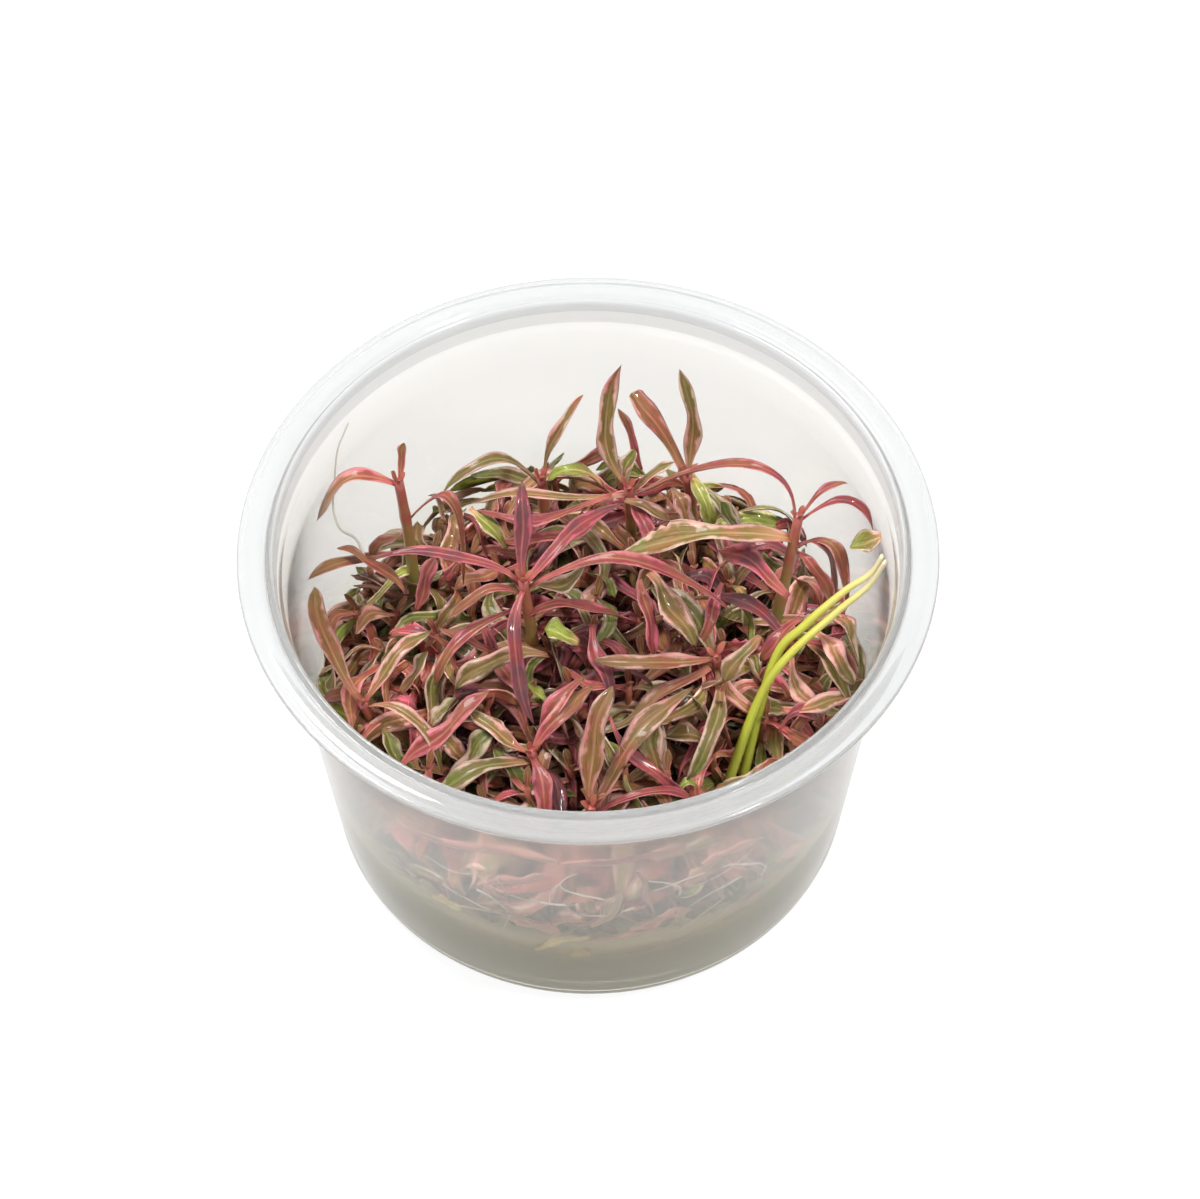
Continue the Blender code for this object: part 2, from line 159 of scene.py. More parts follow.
def addToScene(name, data):
    made = bpy.data.objects.new(name, data)
    bpy.context.scene.collection.objects.link(made)
    return made


def newPiece(name, mesh, material, nodes=()):
    piece = addToScene(name, mesh)
    mesh.materials.clear()
    mesh.materials.append(material)
    mesh.polygons.foreach_set("use_smooth", [True] * len(mesh.polygons))
    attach(piece, "root")
    if nodes:
        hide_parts(*nodes)


def camel(words):
    return words.title().replace("_", "")


# A heap collects points, faces, a place on the leaf for each point and its tone, and becomes one mesh.
def newHeap():
    return {"points": [], "faces": [], "places": [], "tones": []}


def heapMesh(name, heap):
    mesh = bpy.data.meshes.new(name)
    mesh.from_pydata([insideWall(p, 0.12) * mm for p in heap["points"]], [], heap["faces"])
    uv = mesh.uv_layers.new(name="UVMap")
    corners = [0.0] * (2 * len(mesh.loops))
    for i, loop in enumerate(mesh.loops):
        corners[2 * i], corners[2 * i + 1] = heap["places"][loop.vertex_index]
    uv.data.foreach_set("uv", corners)
    tone = mesh.color_attributes.new(name="tone", type="FLOAT_COLOR", domain="POINT")
    tone.data.foreach_set("color", [c for t in heap["tones"] for c in (*t, 1.0)])
    mesh.validate()
    return mesh


def bentMesh(name, bm):
    mesh = bpy.data.meshes.new(name)
    bm.to_mesh(mesh)
    bm.free()
    return mesh


def polar(out, turn, height=0.0):
    # a place by its distance from the tub's axis, its angle round it and its height
    return Vector((out * math.cos(turn), out * math.sin(turn), height))


def upward(height):
    return Vector((0.0, 0.0, height))


def turned(name, profile, steps):
    # a profile of (radius, height) turned round the tub's axis
    bm = bmesh.new()
    rings = []
    for radius, height in profile:
        around = 1 if radius < 1e-6 else steps
        ring = []
        for i in range(around):
            turn = fullTurn * i / steps
            x, y = radius * mm * math.cos(turn), radius * mm * math.sin(turn)
            ring.append(bm.verts.new((x, y, height * mm)))
        rings.append(ring)
    for low, high in zip(rings, rings[1:]):
        for i in range(steps):
            j = (i + 1) % steps
            if len(low) == 1:
                bm.faces.new((low[0], high[i], high[j]))
            elif len(high) == 1:
                bm.faces.new((low[i], high[0], low[j]))
            else:
                bm.faces.new((low[i], high[i], high[j], low[j]))
    bmesh.ops.recalc_face_normals(bm, faces=bm.faces)
    return bentMesh(name, bm)


def curvedRoute(points, perSpan):
    # a smooth route through the points
    places = [Vector(p) for p in points]
    ends = [places[0] * 2 - places[1]] + places + [places[-1] * 2 - places[-2]]
    route = []
    for a, b, c, d in zip(ends, ends[1:], ends[2:], ends[3:]):
        for i in range(perSpan):
            t = i / perSpan
            bow = (2 * a - 5 * b + 4 * c - d) * t**2 + (3 * b - a - 3 * c + d) * t**3
            route.append((2 * b + (c - a) * t + bow) * 0.5)
    return route + [places[-1]]


def closeBody(heap, first, ring, rows, capOrder):
    # skins a body between its rings of points and closes both of its ends
    faces = heap["faces"]
    for i in range(rows - 1):
        for k in range(ring):
            a, b = first + i * ring + k, first + i * ring + (k + 1) % ring
            faces.append((a, b, b + ring, a + ring) if capOrder else (a, a + ring, b + ring, b))
    start = tuple(first + k for k in range(ring))
    end = tuple(first + (rows - 1) * ring + k for k in range(ring))
    faces.append(start[::-1] if capOrder else start)
    faces.append(end if capOrder else end[::-1])


def addTube(heap, route, radii, tones, sides=10, flat=1.0):
    # a round tube along the route; flat under 1 makes it oval
    first, last = len(heap["points"]), len(route) - 1
    way = (route[1] - route[0]).normalized()
    side = way.cross(Vector((0.3, 0.2, 1.0) if abs(way.z) < 0.9 else (1.0, 0.0, 0.0))).normalized()
    for i, place in enumerate(route):
        way = (route[min(i + 1, last)] - route[max(i - 1, 0)]).normalized()
        side = (side - way * side.dot(way)).normalized()
        up = way.cross(side)
        for k in range(sides):
            turn = fullTurn * k / sides
            out = side * math.cos(turn) + up * (math.sin(turn) * flat)
            heap["points"].append(place + out * radii[i])
            heap["places"].append((k / sides, i / last))
            heap["tones"].append(tones[i])
    closeBody(heap, first, sides, len(route), True)


# the tub

tub = {
    "rimRadius": 50.0,
    "height": 61.6,
    "wall": 0.7,
    "footRadius": 38.7,  # outside, just above the rounded corner
    "shoulderRadius": 44.5,  # outside, just below the shoulder under the rim
    "shoulderHeight": 56.4,
    "cornerHeight": 3.0,
    "floorTop": 1.2,
    "rimDepth": 3.0,  # of the milkier plastic, down from the top
    "steps": 192,
    "clearness": 0.90,  # the rest is a little milkiness in the plastic
    "tint": (0.945, 0.935, 0.905),
    "filmTint": (0.87, 0.82, 0.66),
    "filmHeights": (0.034, 0.012),  # metres, from none to full
    "shine": 0.4,
    "roughness": 0.13,
    "rimClearness": 0.72,
    "rimTint": (0.80, 0.812, 0.812),
    "rimRoughness": 0.1,
    "ior": 1.42,
}


def outerRadius(height):
    share = (height - tub["cornerHeight"]) / (tub["shoulderHeight"] - tub["cornerHeight"])
    return tub["footRadius"] + (tub["shoulderRadius"] - tub["footRadius"]) * share


def innerRadius(height):
    return outerRadius(height) - tub["wall"]


def insideWall(place, room):
    # moves a place back inside the tub when it lies nearer to the wall than the room
    if place.z > tub["shoulderHeight"]:
        return place
    limit = innerRadius(place.z) - room
    out = math.hypot(place.x, place.y)
    if out > limit:
        place.x, place.y = place.x * limit / out, place.y * limit / out
    return place


def makeClearPlastic():
    material, tree, shader = newMaterial("clearPlastic")
    place = objectPlace(tree)
    cloud = noiseOf(tree, place, 38.0)
    cloudy = blendColour(tree, cloud, tuple(c * 0.965 for c in tub["tint"]), tub["tint"])
    # warmer low down, where a film of gel sticks to it
    film = smoothRange(tree, partsOf(tree, place)[2], *tub["filmHeights"])
    fill(tree, shader, {
        "Base Color": blendColour(tree, film, cloudy, tub["filmTint"]),
        "Roughness": plus(tree, times(tree, cloud, 0.05), tub["roughness"] - 0.025),
        "Transmission Weight": tub["clearness"],
        "IOR": tub["ior"],
        "Specular IOR Level": tub["shine"],
    })
    return material


def makeRimPlastic():
    # thicker and milkier than the wall, with faint rings left by the mould
    material, tree, shader = newMaterial("rimPlastic")
    streaks = noiseOf(tree, stretched(tree, objectPlace(tree), (1.0, 1.0, 30.0)), 30.0, 3.0)
    fill(tree, shader, {
        "Base Color": blendColour(tree, streaks, tuple(c * 0.93 for c in tub["rimTint"]), tub["rimTint"]),
        "Roughness": plus(tree, times(tree, streaks, 0.1), tub["rimRoughness"] - 0.05),
        "Transmission Weight": tub["rimClearness"],
        "IOR": tub["ior"],
    })
    return material


def makeTub():
    r, s, f = tub["rimRadius"], tub["shoulderRadius"], tub["footRadius"]
    h, sh, low = tub["height"], tub["shoulderHeight"], tub["floorTop"]
    inside = [(0.0, low), (f - 4.4, low), (f - 3.2, low + 0.12), (f - 2.2, low + 0.5), (f - 1.4, low + 1.2)]
    inside += [(innerRadius(z), z) for z in (3.4, 20.0, 40.0, sh - 0.4)]
    inside += [(s - 0.6, sh), (s - 0.15, sh + 0.45), (s, sh + 1.0)]
    # the lip, the groove and the bead, out from the shoulder and down from the top
    lip = [(0.3, 1.0), (0.42, 0.42), (0.6, 0.1), (0.85, 0.0), (1.1, 0.1), (1.25, 0.4)]
    groove = [(1.45, 0.72), (1.75, 0.78), (2.0, 0.6), (2.3, 0.36)]
    bead = [(2.8, 0.26), (3.4, 0.32), (3.9, 0.46), (4.4, 0.44), (4.8, 0.28)]
    under = [(2.6, 1.02), (1.9, 1.36), (1.3, 1.6), (0.95, 2.5)]
    # the outer edge, in from the rim's radius and down from the top
    edge = [(0.3, 0.32), (0.07, 0.5), (0.0, 0.75), (0.07, 1.02), (0.3, 1.2)]
    edge += [(0.6, 1.2), (0.9, 1.06), (1.4, 0.98)]
    rim = [(s + out, h - down) for out, down in lip + groove + bead]
    rim += [(r - back, h - down) for back, down in edge]
    rim += [(s + out, h - down) for out, down in under]
    outside = [(s + 0.75, sh + 0.9), (s + 0.55, sh + 0.35), (s + 0.05, sh - 0.2)]
    outside += [(outerRadius(z), z) for z in (50.0, 30.0, 12.0)]
    outside += [(f, 3.0), (f - 0.25, 2.0), (f - 0.85, 1.0), (f - 1.7, 0.3), (f - 2.7, 0.0), (0.0, 0.0)]
    mesh = turned("tubShell", inside + rim + outside, tub["steps"])
    newPiece("tubShell", mesh, makeClearPlastic(), ["tub"])
    mesh.materials.append(makeRimPlastic())
    for face in mesh.polygons:
        if face.center.z > (h - tub["rimDepth"]) * mm:
            face.material_index = 1
    report("tub")


# the gel

gel = {
    "level": 19.0,
    "gap": 0.75,  # between its side and the wall
    "rings": 26,
    "steps": 120,
    # the dark bands low down are painted shade at the gel's foot
    "bands": [  # colours up the side
        (0.0, (0.28, 0.22, 0.10)), (0.1, (0.36, 0.30, 0.14)), (0.17, (0.60, 0.53, 0.33)),
        (0.26, (0.38, 0.32, 0.16)), (0.44, (0.42, 0.35, 0.18)), (0.58, (0.70, 0.62, 0.44)),
        (1.0, (0.76, 0.68, 0.50)),
    ],
    "topTint": (0.20, 0.15, 0.09),
    "clearness": 0.4,
    "ior": 1.335,
    "roughness": 0.12,
    "shine": 0.15,
}


def gelTop(x, y):
    # the skin dips in the middle and climbs the wall at the right and the left
    out = math.hypot(x, y) / innerRadius(gel["level"])
    turn = math.atan2(y, x)
    swell = 0.9 * math.sin(0.23 * x + 1.0) * math.cos(0.19 * y - 0.6)
    climbRight = 8.0 * math.exp(-((turn - 0.05) / 0.33) ** 2)
    climbLeft = 3.0 * math.exp(-((abs(turn) - 2.5) / 0.3) ** 2)
    return gel["level"] + swell + (climbRight + climbLeft) * max(0.0, out - 0.45) ** 2 / 0.3


def makeGelMaterial():
    material, tree, shader = newMaterial("greyGel")
    place = objectPlace(tree)
    x, y, z = partsOf(tree, place)
    cloud = noiseOf(tree, place, 55.0, 4.0)
    # colour up the side, with painted shade in the dark bands low down
    banded = colourRamp(tree, plus(tree, times(tree, z, 50.0), swing(tree, cloud, 0.3)), gel["bands"])
    # among the plants the upward skin is a darker brown
    facing = addNode(tree, "ShaderNodeNewGeometry").outputs["True Normal"]
    upwards = smoothRange(tree, partsOf(tree, facing)[2], 0.4, 0.7)
    flat = addNode(tree, "ShaderNodeCombineXYZ")
    fill(tree, flat, {0: x, 1: y})
    distance = addNode(tree, "ShaderNodeVectorMath", operation="LENGTH")
    tree.links.new(flat.outputs[0], distance.inputs[0])
    amongPlants = smoothRange(tree, distance.outputs["Value"], 0.0375, 0.035)
    fill(tree, shader, {
        "Base Color": blendColour(tree, times(tree, amongPlants, upwards), banded, gel["topTint"]),
        "Roughness": gel["roughness"],
        "Transmission Weight": gel["clearness"],
        "IOR": gel["ior"],
        "Specular IOR Level": gel["shine"],
        "Normal": bumpOf(tree, noiseOf(tree, place, 90.0), 0.15, 0.0006),
    })
    return material


def makeGel():
    level, gap = gel["level"], gel["gap"]
    edge = innerRadius(level) - gap
    profile = [(edge * i / gel["rings"], level) for i in range(gel["rings"] + 1)]
    profile += [(innerRadius(z) - gap, z) for z in (15.0, 11.0, 7.0, 4.5)]
    f, low = tub["footRadius"], tub["floorTop"] + gap
    profile += [(f - 1.9, low + 0.9), (f - 2.8, low + 0.3), (f - 4.0, low), (0.0, low)]
    mesh = turned("gelBody", profile, gel["steps"])
    for vertex in mesh.vertices:
        if vertex.co.z > (level - 0.01) * mm:
            x, y = vertex.co.x / mm, vertex.co.y / mm
            height = gelTop(x, y)
            ripple = 0.35 * noise.noise(Vector((x * 0.35, y * 0.35, 3.0)))
            grow = innerRadius(height) / innerRadius(level)
            vertex.co = (vertex.co.x * grow, vertex.co.y * grow, (height + ripple) * mm)
    newPiece("gelBody", mesh, makeGelMaterial(), ["gel"])
    report("gel")


# leaves

leafLook = {
    "steps": 19,  # points along the midrib
    "coarseSteps": 12,  # the same for the many small leaves
    "thick": 0.40,
    "keel": 0.34,  # how far the midrib lies under the edges, as a share of half the width
    "stalkShare": 0.36,
    "roughness": 0.36,
    "coat": 0.25,
    "coatRoughness": 0.06,
    "shine": 0.28,
    # colours in the middle of the blade and at its edge, from green to plum
    "centre": [
        (0.0, (0.140, 0.172, 0.020)), (0.16, (0.120, 0.120, 0.016)), (0.32, (0.165, 0.110, 0.024)),
        (0.48, (0.230, 0.104, 0.032)), (0.64, (0.255, 0.066, 0.034)), (0.80, (0.235, 0.030, 0.036)),
        (0.90, (0.155, 0.035, 0.045)), (1.0, (0.098, 0.033, 0.040)),
    ],
    "margin": [
        (0.0, (0.54, 0.47, 0.26)), (0.2, (0.66, 0.45, 0.35)), (0.42, (0.68, 0.34, 0.30)),
        (0.64, (0.60, 0.17, 0.18)), (0.82, (0.57, 0.095, 0.15)), (1.0, (0.41, 0.078, 0.12)),
    ],
    # green leaves have the first of each pair, plum ones the second
    "edgeLine": ((0.78, 0.58, 0.44), (0.76, 0.30, 0.31)),
    "rib": ((0.66, 0.56, 0.26), (0.74, 0.25, 0.20)),
    "stalk": ((0.58, 0.36, 0.18), (0.52, 0.10, 0.095)),
    "darkStreak": (0.085, 0.045, 0.025),
    "tip": (0.24, 0.16, 0.07),
    "under": (0.62, 0.38, 0.28),
}


def leafHalf(along, widest, blunt):
    # half the blade as a share of its widest: slim stalk, long swell, drawn-out or blunt tip
    if along < widest:
        rise, stalk = along / widest, leafLook["stalkShare"]
        return stalk + (1.0 - stalk) * rise * rise * (3.0 - 2.0 * rise)
    fall = (along - widest) / (1.0 - widest)
    return max(0.04, (1.0 - fall ** (1.7 + 1.6 * blunt)) ** (0.9 - 0.35 * blunt))


def midrib(start, crown, tip, along):
    bend = crown * 2.0 - (start + tip) * 0.5
    back = 1.0 - along
    place = start * back**2 + bend * (2.0 * back * along) + tip * along**2
    way = (bend - start) * back + (tip - bend) * along
    return place, way.normalized()


def addLeaf(
    heap, start, crown, tip, width, look, rng, roll=0.0, widest=0.45, blunt=0.5,
    wave=0.12, sway=0.025, twist=22.0, fine=True, turning=2.0,
):
    # One closed blade: a grooved upper face, a ribbed lower face and thin wavy edges. The look is the tone at
    # the stalk and the tone at the tip. Roll and twist are in degrees, and turning says how soon it rolls.
    steps = leafLook["steps"] if fine else leafLook["coarseSteps"]
    acrossTop = (-1.0, -0.62, -0.2, 0.0, 0.2, 0.62, 1.0) if fine else (-1.0, -0.5, 0.0, 0.5, 1.0)
    acrossLow = (0.6, 0.0, -0.6) if fine else (0.5, 0.0, -0.5)
    flat = Vector((tip.x - start.x, tip.y - start.y, 0.0))
    if flat.length < 0.5:
        flat = Vector((crown.x - start.x, crown.y - start.y, 0.0))
    side = Vector((flat.y, -flat.x, 0.0)).normalized() if flat.length > 0.05 else Vector((1.0, 0.0, 0.0))
    first = len(heap["points"])
    phase, drift, pinch = (rng.uniform(0.0, 6.28) for _ in range(3))
    twist = rng.uniform(-twist, twist)
    bend = sway * (tip - start).length
    for i in range(steps):
        along = i / (steps - 1)
        place, way = midrib(start, crown, tip, along)
        up = side.cross(way).normalized()
        loose = bend * math.sin(math.pi * min(1.0, along * 1.1))
        place = place + side * (loose * math.sin(5.0 * along + drift))
        place = place + up * (loose * 0.7 * math.sin(6.5 * along + phase))
        lean = roll * min(1.0, 0.02 + turning * along)
        lean = math.radians(lean + twist * math.sin(4.0 * along + pinch) * min(1.0, 2.0 * along))
        over = side * math.cos(lean) + up * math.sin(lean)
        rise = way.cross(over) * -1.0
        half = 0.5 * width * leafHalf(along, widest, blunt) * (1.0 + wave * math.sin(11.0 * along + pinch))
        thick = leafLook["thick"] * (1.0 - 0.5 * along) * min(1.0, 0.5 + half)
        fold = leafLook["keel"] * (1.0 + 0.5 * math.sin(7.0 * along + drift))
        tone = tuple(a + (b - a) * along for a, b in zip(*look))
        for k, across in enumerate(acrossTop + acrossLow):
            beat = 13.0 * along * (0.8 + 0.2 * abs(across)) + phase + across
            ripple = wave * width * 0.25 * across * math.sin(beat) * min(1.0, 3.0 * along)
            height, reach = half * fold * (abs(across) ** 1.3 - 0.5) + ripple, across * half
            if k < len(acrossTop):
                height += thick * 0.5 * (1.0 - across * across) - (0.06 if across == 0.0 else 0.0)
                heap["places"].append((across * 0.5 + 0.5, along))
            else:
                height -= thick * (0.75 if across == 0.0 else 0.32)
                reach *= 0.94
                heap["places"].append((1.0 + (across * 0.5 + 0.5) * 0.98 + 0.01, along))
            heap["points"].append(place + over * reach + rise * height)
            heap["tones"].append(tone)
    closeBody(heap, first, len(acrossTop) + len(acrossLow), steps, False)


def makeLeafMaterial(name):
    # the tone of a leaf holds its hue from green to plum, how much of it is pink, and how bright it is
    material, tree, shader = newMaterial(name)
    blade, place = bladePlace(tree), objectPlace(tree)
    across, along = partsOf(tree, blade)[:2]
    hue, pink, bright = toneOf(tree)
    fine = noiseOf(tree, place, 1100.0, 3.0, 0.6)
    broad = noiseOf(tree, place, 210.0)
    patch = noiseOf(tree, place, 330.0, 2.0, 0.6)
    streaks = noiseOf(tree, stretched(tree, blade, (26.0, 5.0, 1.0)), 1.0, 3.0, 0.6)
    offset = calc(tree, "ABSOLUTE", calc(tree, "SUBTRACT", calc(tree, "FRACT", across), 0.5))
    edge = times(tree, offset, 2.0)
    shifted = plus(tree, hue, swing(tree, broad, 0.75), clamp=True)
    margin = colourRamp(tree, shifted, leafLook["margin"])
    # pink from the edges inwards, in ragged tongues and patches
    ragged = plus(tree, plus(tree, edge, swing(tree, fine, 0.25)), swing(tree, patch, 1.5))
    reach = calc(tree, "SUBTRACT", 1.02, times(tree, pink, 0.5))
    tongues = smoothRange(tree, calc(tree, "SUBTRACT", ragged, reach), -0.2, 0.2)
    # a thin pale line right along the edge, and a pale midrib, strongest near the stalk
    line = plus(tree, times(tree, pink, 0.7), 0.1)
    nearStalk = calc(tree, "SUBTRACT", 0.9, times(tree, along, 0.55))
    rib = times(tree, smoothRange(tree, edge, 0.2, 0.0), nearStalk)
    colour = colourRamp(tree, shifted, leafLook["centre"])
    # where each layer lies, how strong it is there, and its colour
    for where, strength, layer in (
        (tongues, 0.88, margin),
        (smoothRange(tree, streaks, 0.50, 0.36), 0.45, leafLook["darkStreak"]),
        (smoothRange(tree, streaks, 0.54, 0.70), 0.3, margin),
        (smoothRange(tree, edge, 0.72, 1.0), line, blendColour(tree, shifted, *leafLook["edgeLine"])),
        (rib, 0.38, blendColour(tree, shifted, *leafLook["rib"])),
        (smoothRange(tree, along, 0.28, 0.02), 0.55, blendColour(tree, shifted, *leafLook["stalk"])),
        (smoothRange(tree, along, 0.92, 1.0), 0.5, leafLook["tip"]),
        (smoothRange(tree, across, 1.0, 1.02), 0.3, leafLook["under"]),
    ):
        colour = blendColour(tree, times(tree, where, strength), colour, layer)
    # brightness from the tone, which on the small leaves also holds painted light and shade by part and by
    # tier
    level = plus(tree, bright, 0.5)
    shade = addNode(tree, "ShaderNodeCombineColor")
    fill(tree, shade, {0: level, 1: level, 2: level})
    relief = plus(tree, plus(tree, fine, streaks), times(tree, patch, 1.2))
    fill(tree, shader, {
        "Base Color": blendColour(tree, 1.0, colour, shade.outputs[0], "MULTIPLY"),
        "Roughness": plus(tree, times(tree, fine, 0.3), leafLook["roughness"] - 0.12),
        "Coat Weight": leafLook["coat"],
        "Coat Roughness": leafLook["coatRoughness"],
        "Specular IOR Level": leafLook["shine"],
        "Normal": bumpOf(tree, relief, 0.6, 0.00018),
    })
    return material


# hue from 0 green to 1 plum, how much of the leaf is pink, brightness: at the stalk, then at the tip
tones = {
    "magenta": ((0.82, 0.95, 0.85), (0.42, 0.35, 0.5)),
    "rose": ((0.76, 0.6, 0.62), (0.56, 0.5, 0.52)),
    "crimson": ((0.80, 0.55, 0.6), (0.70, 0.6, 0.55)),
    "plum": ((0.84, 0.45, 0.55), (0.96, 0.2, 0.5)),
    "plumEdged": ((0.78, 0.6, 0.6), (0.90, 0.55, 0.55)),
    "brown": ((0.62, 0.5, 0.5), (0.50, 0.45, 0.42)),
    "amber": ((0.60, 0.5, 0.62), (0.46, 0.35, 0.6)),
    "green": ((0.22, 0.7, 0.45), (0.08, 0.7, 0.4)),
    # a bright green look, its brightness raised partly as painted highlight for lit green leaves
    "leafGreen": ((0.12, 0.3, 1.3), (0.0, 0.3, 1.2)),
    "olive": ((0.40, 0.6, 0.45), (0.24, 0.6, 0.42)),
    "oliveToPink": ((0.24, 0.4, 0.5), (0.44, 1.1, 0.7)),
    "pale": ((0.44, 0.85, 0.7), (0.26, 0.75, 0.62)),
    "blush": ((0.50, 1.15, 0.8), (0.30, 0.85, 0.7)),
    "grey": ((0.60, 0.55, 0.5), (0.36, 0.6, 0.42)),
    "oliveRosy": ((0.40, 0.7, 0.75), (0.22, 0.62, 0.75)),
    "wallPink": ((0.84, 1.1, 0.75), (0.62, 0.9, 0.7)),
    "wallGreen": ((0.06, 0.1, 2.4), (0.0, 0.1, 2.2)),
    "spoon": ((0.30, 0.7, 0.9), (0.16, 0.45, 0.95)),
}

# Each shoot has its foot on the gel and its top. A leaf is name, height of its node, crown (the middle of its
# midrib), tip, width and tone.
shoots = {
    "left": {
        "foot": (-26.5, 15.0), "top": (-27.5, 16.0, 56.0), "leaves": [
            ("arching_out", 55.4, (-34.6, 15.0, 57.6), (-39.6, 13.4, 50.0), 3.3, "magenta"),
            ("arching_in", 47.0, (-20.0, 17.0, 50.0), (-18.5, 10.5, 38.0), 2.2, "rose"),
            ("young", 55.6, (-27.0, 18.8, 58.5), (-26.6, 19.6, 60.4), 1.7, "amber"),
            ("low", 39.0, (-35.0, 10.5, 44.5), (-41.0, 6.4, 45.0), 2.4, "amber"),
        ],
    },
    "centre": {
        "foot": (-8.5, 1.0), "top": (-9.5, 3.0, 49.0), "leaves": [
            ("rising_back", 48.6, (-9.7, 8.8, 53.4), (-9.5, 15.0, 57.0), 2.7, "plum"),
            ("back_right", 48.0, (-2.6, 10.0, 51.0), (5.0, 16.0, 50.2), 2.7, "plumEdged"),
            ("right", 47.4, (7.0, 4.4, 51.4), (21.0, 0.5, 44.0), 3.0, "crimson"),
            ("left_long", 48.4, (-19.5, 6.5, 51.4), (-31.5, 7.0, 49.0), 2.4, "plumEdged"),
            ("left_low", 46.0, (-15.0, 2.0, 47.6), (-20.5, -0.2, 44.0), 2.1, "rose"),
            ("hanging", 47.6, (-11.0, -6.6, 43.6), (-8.0, -14.4, 37.6), 2.6, "plum"),
            ("magenta", 43.6, (-18.6, -2.6, 42.0), (-22.5, -6.6, 36.4), 2.5, "rose"),
        ],
    },
    "right": {
        "foot": (22.8, 1.4), "top": (30.5, 10.0, 55.0), "leaves": [
            ("arching_left", 54.4, (23.5, 16.5, 59.2), (6.6, 16.4, 51.6), 3.3, "rose"),
            ("arching_right", 54.0, (37.8, 11.2, 56.8), (41.3, 8.8, 52.9), 1.9, "crimson"),
            ("young", 54.6, (34.6, 13.2, 57.2), (37.6, 13.6, 57.8), 1.5, "rose"),
            ("low_right", 49.6, (36.0, 6.8, 50.4), (37.6, 2.4, 42.0), 2.4, "rose"),
            ("low_left", 50.6, (16.6, 9.4, 51.8), (3.4, 8.8, 46.0), 4.5, "oliveRosy"),
        ],
    },
    "back": {
        "foot": (5.2, 22.5), "top": (6.0, 24.0, 43.6), "leaves": [
            ("tall", 43.2, (2.5, 30.5, 50.5), (5.0, 34.5, 59.5), 3.0, "oliveToPink"),
            ("pale_left", 41.8, (-9.0, 22.0, 44.2), (-17.5, 22.6, 42.0), 2.4, "pale"),
            ("pale_right", 42.0, (9.6, 25.4, 45.0), (12.8, 26.2, 46.8), 2.4, "pale"),
            ("front", 41.4, (8.6, 17.5, 42.6), (10.0, 13.0, 38.0), 3.0, "plumEdged"),
        ],
    },
    "back_left": {
        "foot": (-7.5, 25.0), "top": (-7.0, 26.5, 43.0), "leaves": [
            ("slim", 42.6, (-4.5, 29.0, 51.0), (-0.6, 31.4, 56.4), 2.2, "oliveToPink"),
            ("arch", 42.0, (-14.5, 25.6, 48.4), (-21.4, 22.6, 44.6), 2.3, "olive"),
        ],
    },
    "back_right": {
        "foot": (15.5, 24.5), "top": (14.8, 26.0, 44.0), "leaves": [
            ("tall", 43.6, (15.2, 30.0, 52.0), (13.6, 33.6, 59.5), 3.0, "pale"),
            ("rounded", 43.0, (9.6, 31.6, 50.6), (6.6, 34.4, 53.0), 3.4, "amber"),
            ("right", 42.0, (19.8, 21.5, 43.0), (23.0, 18.4, 39.0), 2.4, "green"),
        ],
    },
    "front_left": {
        "foot": (-30.5, -8.0), "top": (-33.0, -9.5, 36.5), "leaves": [
            ("rising", 36.0, (-38.2, -3.0, 42.0), (-39.8, 3.2, 47.6), 3.9, "amber"),
            ("arching", 35.6, (-25.0, -13.0, 37.6), (-21.5, -18.6, 31.0), 2.6, "pale"),
            ("yellow", 36.0, (-28.5, -5.6, 41.6), (-23.0, -0.6, 41.6), 2.9, "pale"),
        ],
    },
    "front": {
        "foot": (-7.5, -16.5), "top": (-8.5, -18.0, 36.0), "leaves": [
            ("magenta", 35.6, (-4.4, -13.6, 39.0), (0.5, -8.8, 39.0), 3.3, "rose"),
            ("down", 35.2, (-6.9, -23.6, 34.8), (-6.2, -27.8, 31.0), 3.3, "plumEdged"),
            ("left", 33.6, (-16.5, -21.4, 35.8), (-23.0, -23.0, 31.6), 3.6, "green"),
            ("green", 35.4, (-13.5, -15.8, 37.6), (-17.5, -11.5, 37.4), 3.0, "pale"),
        ],
    },
    "front_right": {
        "foot": (0.5, -24.0), "top": (0.0, -26.0, 33.0), "leaves": [
            ("upright", 32.8, (0.2, -19.6, 40.2), (3.4, -12.6, 44.6), 3.5, "grey"),
            ("slanting", 31.0, (9.4, -23.4, 34.0), (15.0, -24.4, 31.6), 2.2, "crimson"),
            ("glossy", 32.4, (7.0, -17.6, 38.4), (15.0, -9.6, 40.0), 3.4, "grey"),
        ],
    },
    "right_front": {
        "foot": (18.0, -4.0), "top": (18.5, -3.5, 39.0), "leaves": [
            ("plum_left", 38.6, (10.5, -7.0, 42.2), (0.5, -5.5, 41.0), 3.3, "grey"),
            ("broad", 38.2, (14.6, 1.2, 43.2), (9.0, 6.4, 42.6), 4.4, "green"),
            ("front", 36.6, (18.0, -15.6, 37.0), (14.0, -20.6, 32.0), 3.2, "olive"),
        ],
    },
    "right_back": {
        "foot": (28.5, -1.0), "top": (29.5, -0.6, 39.0), "leaves": [
            ("out", 38.6, (36.0, -4.6, 41.4), (38.8, -7.4, 38.0), 3.2, "rose"),
            ("left", 37.6, (24.4, 3.2, 41.4), (18.8, 6.6, 40.0), 2.8, "plum"),
            ("pink", 35.6, (31.0, -9.0, 37.2), (36.6, -10.6, 34.6), 3.0, "blush"),
        ],
    },
}

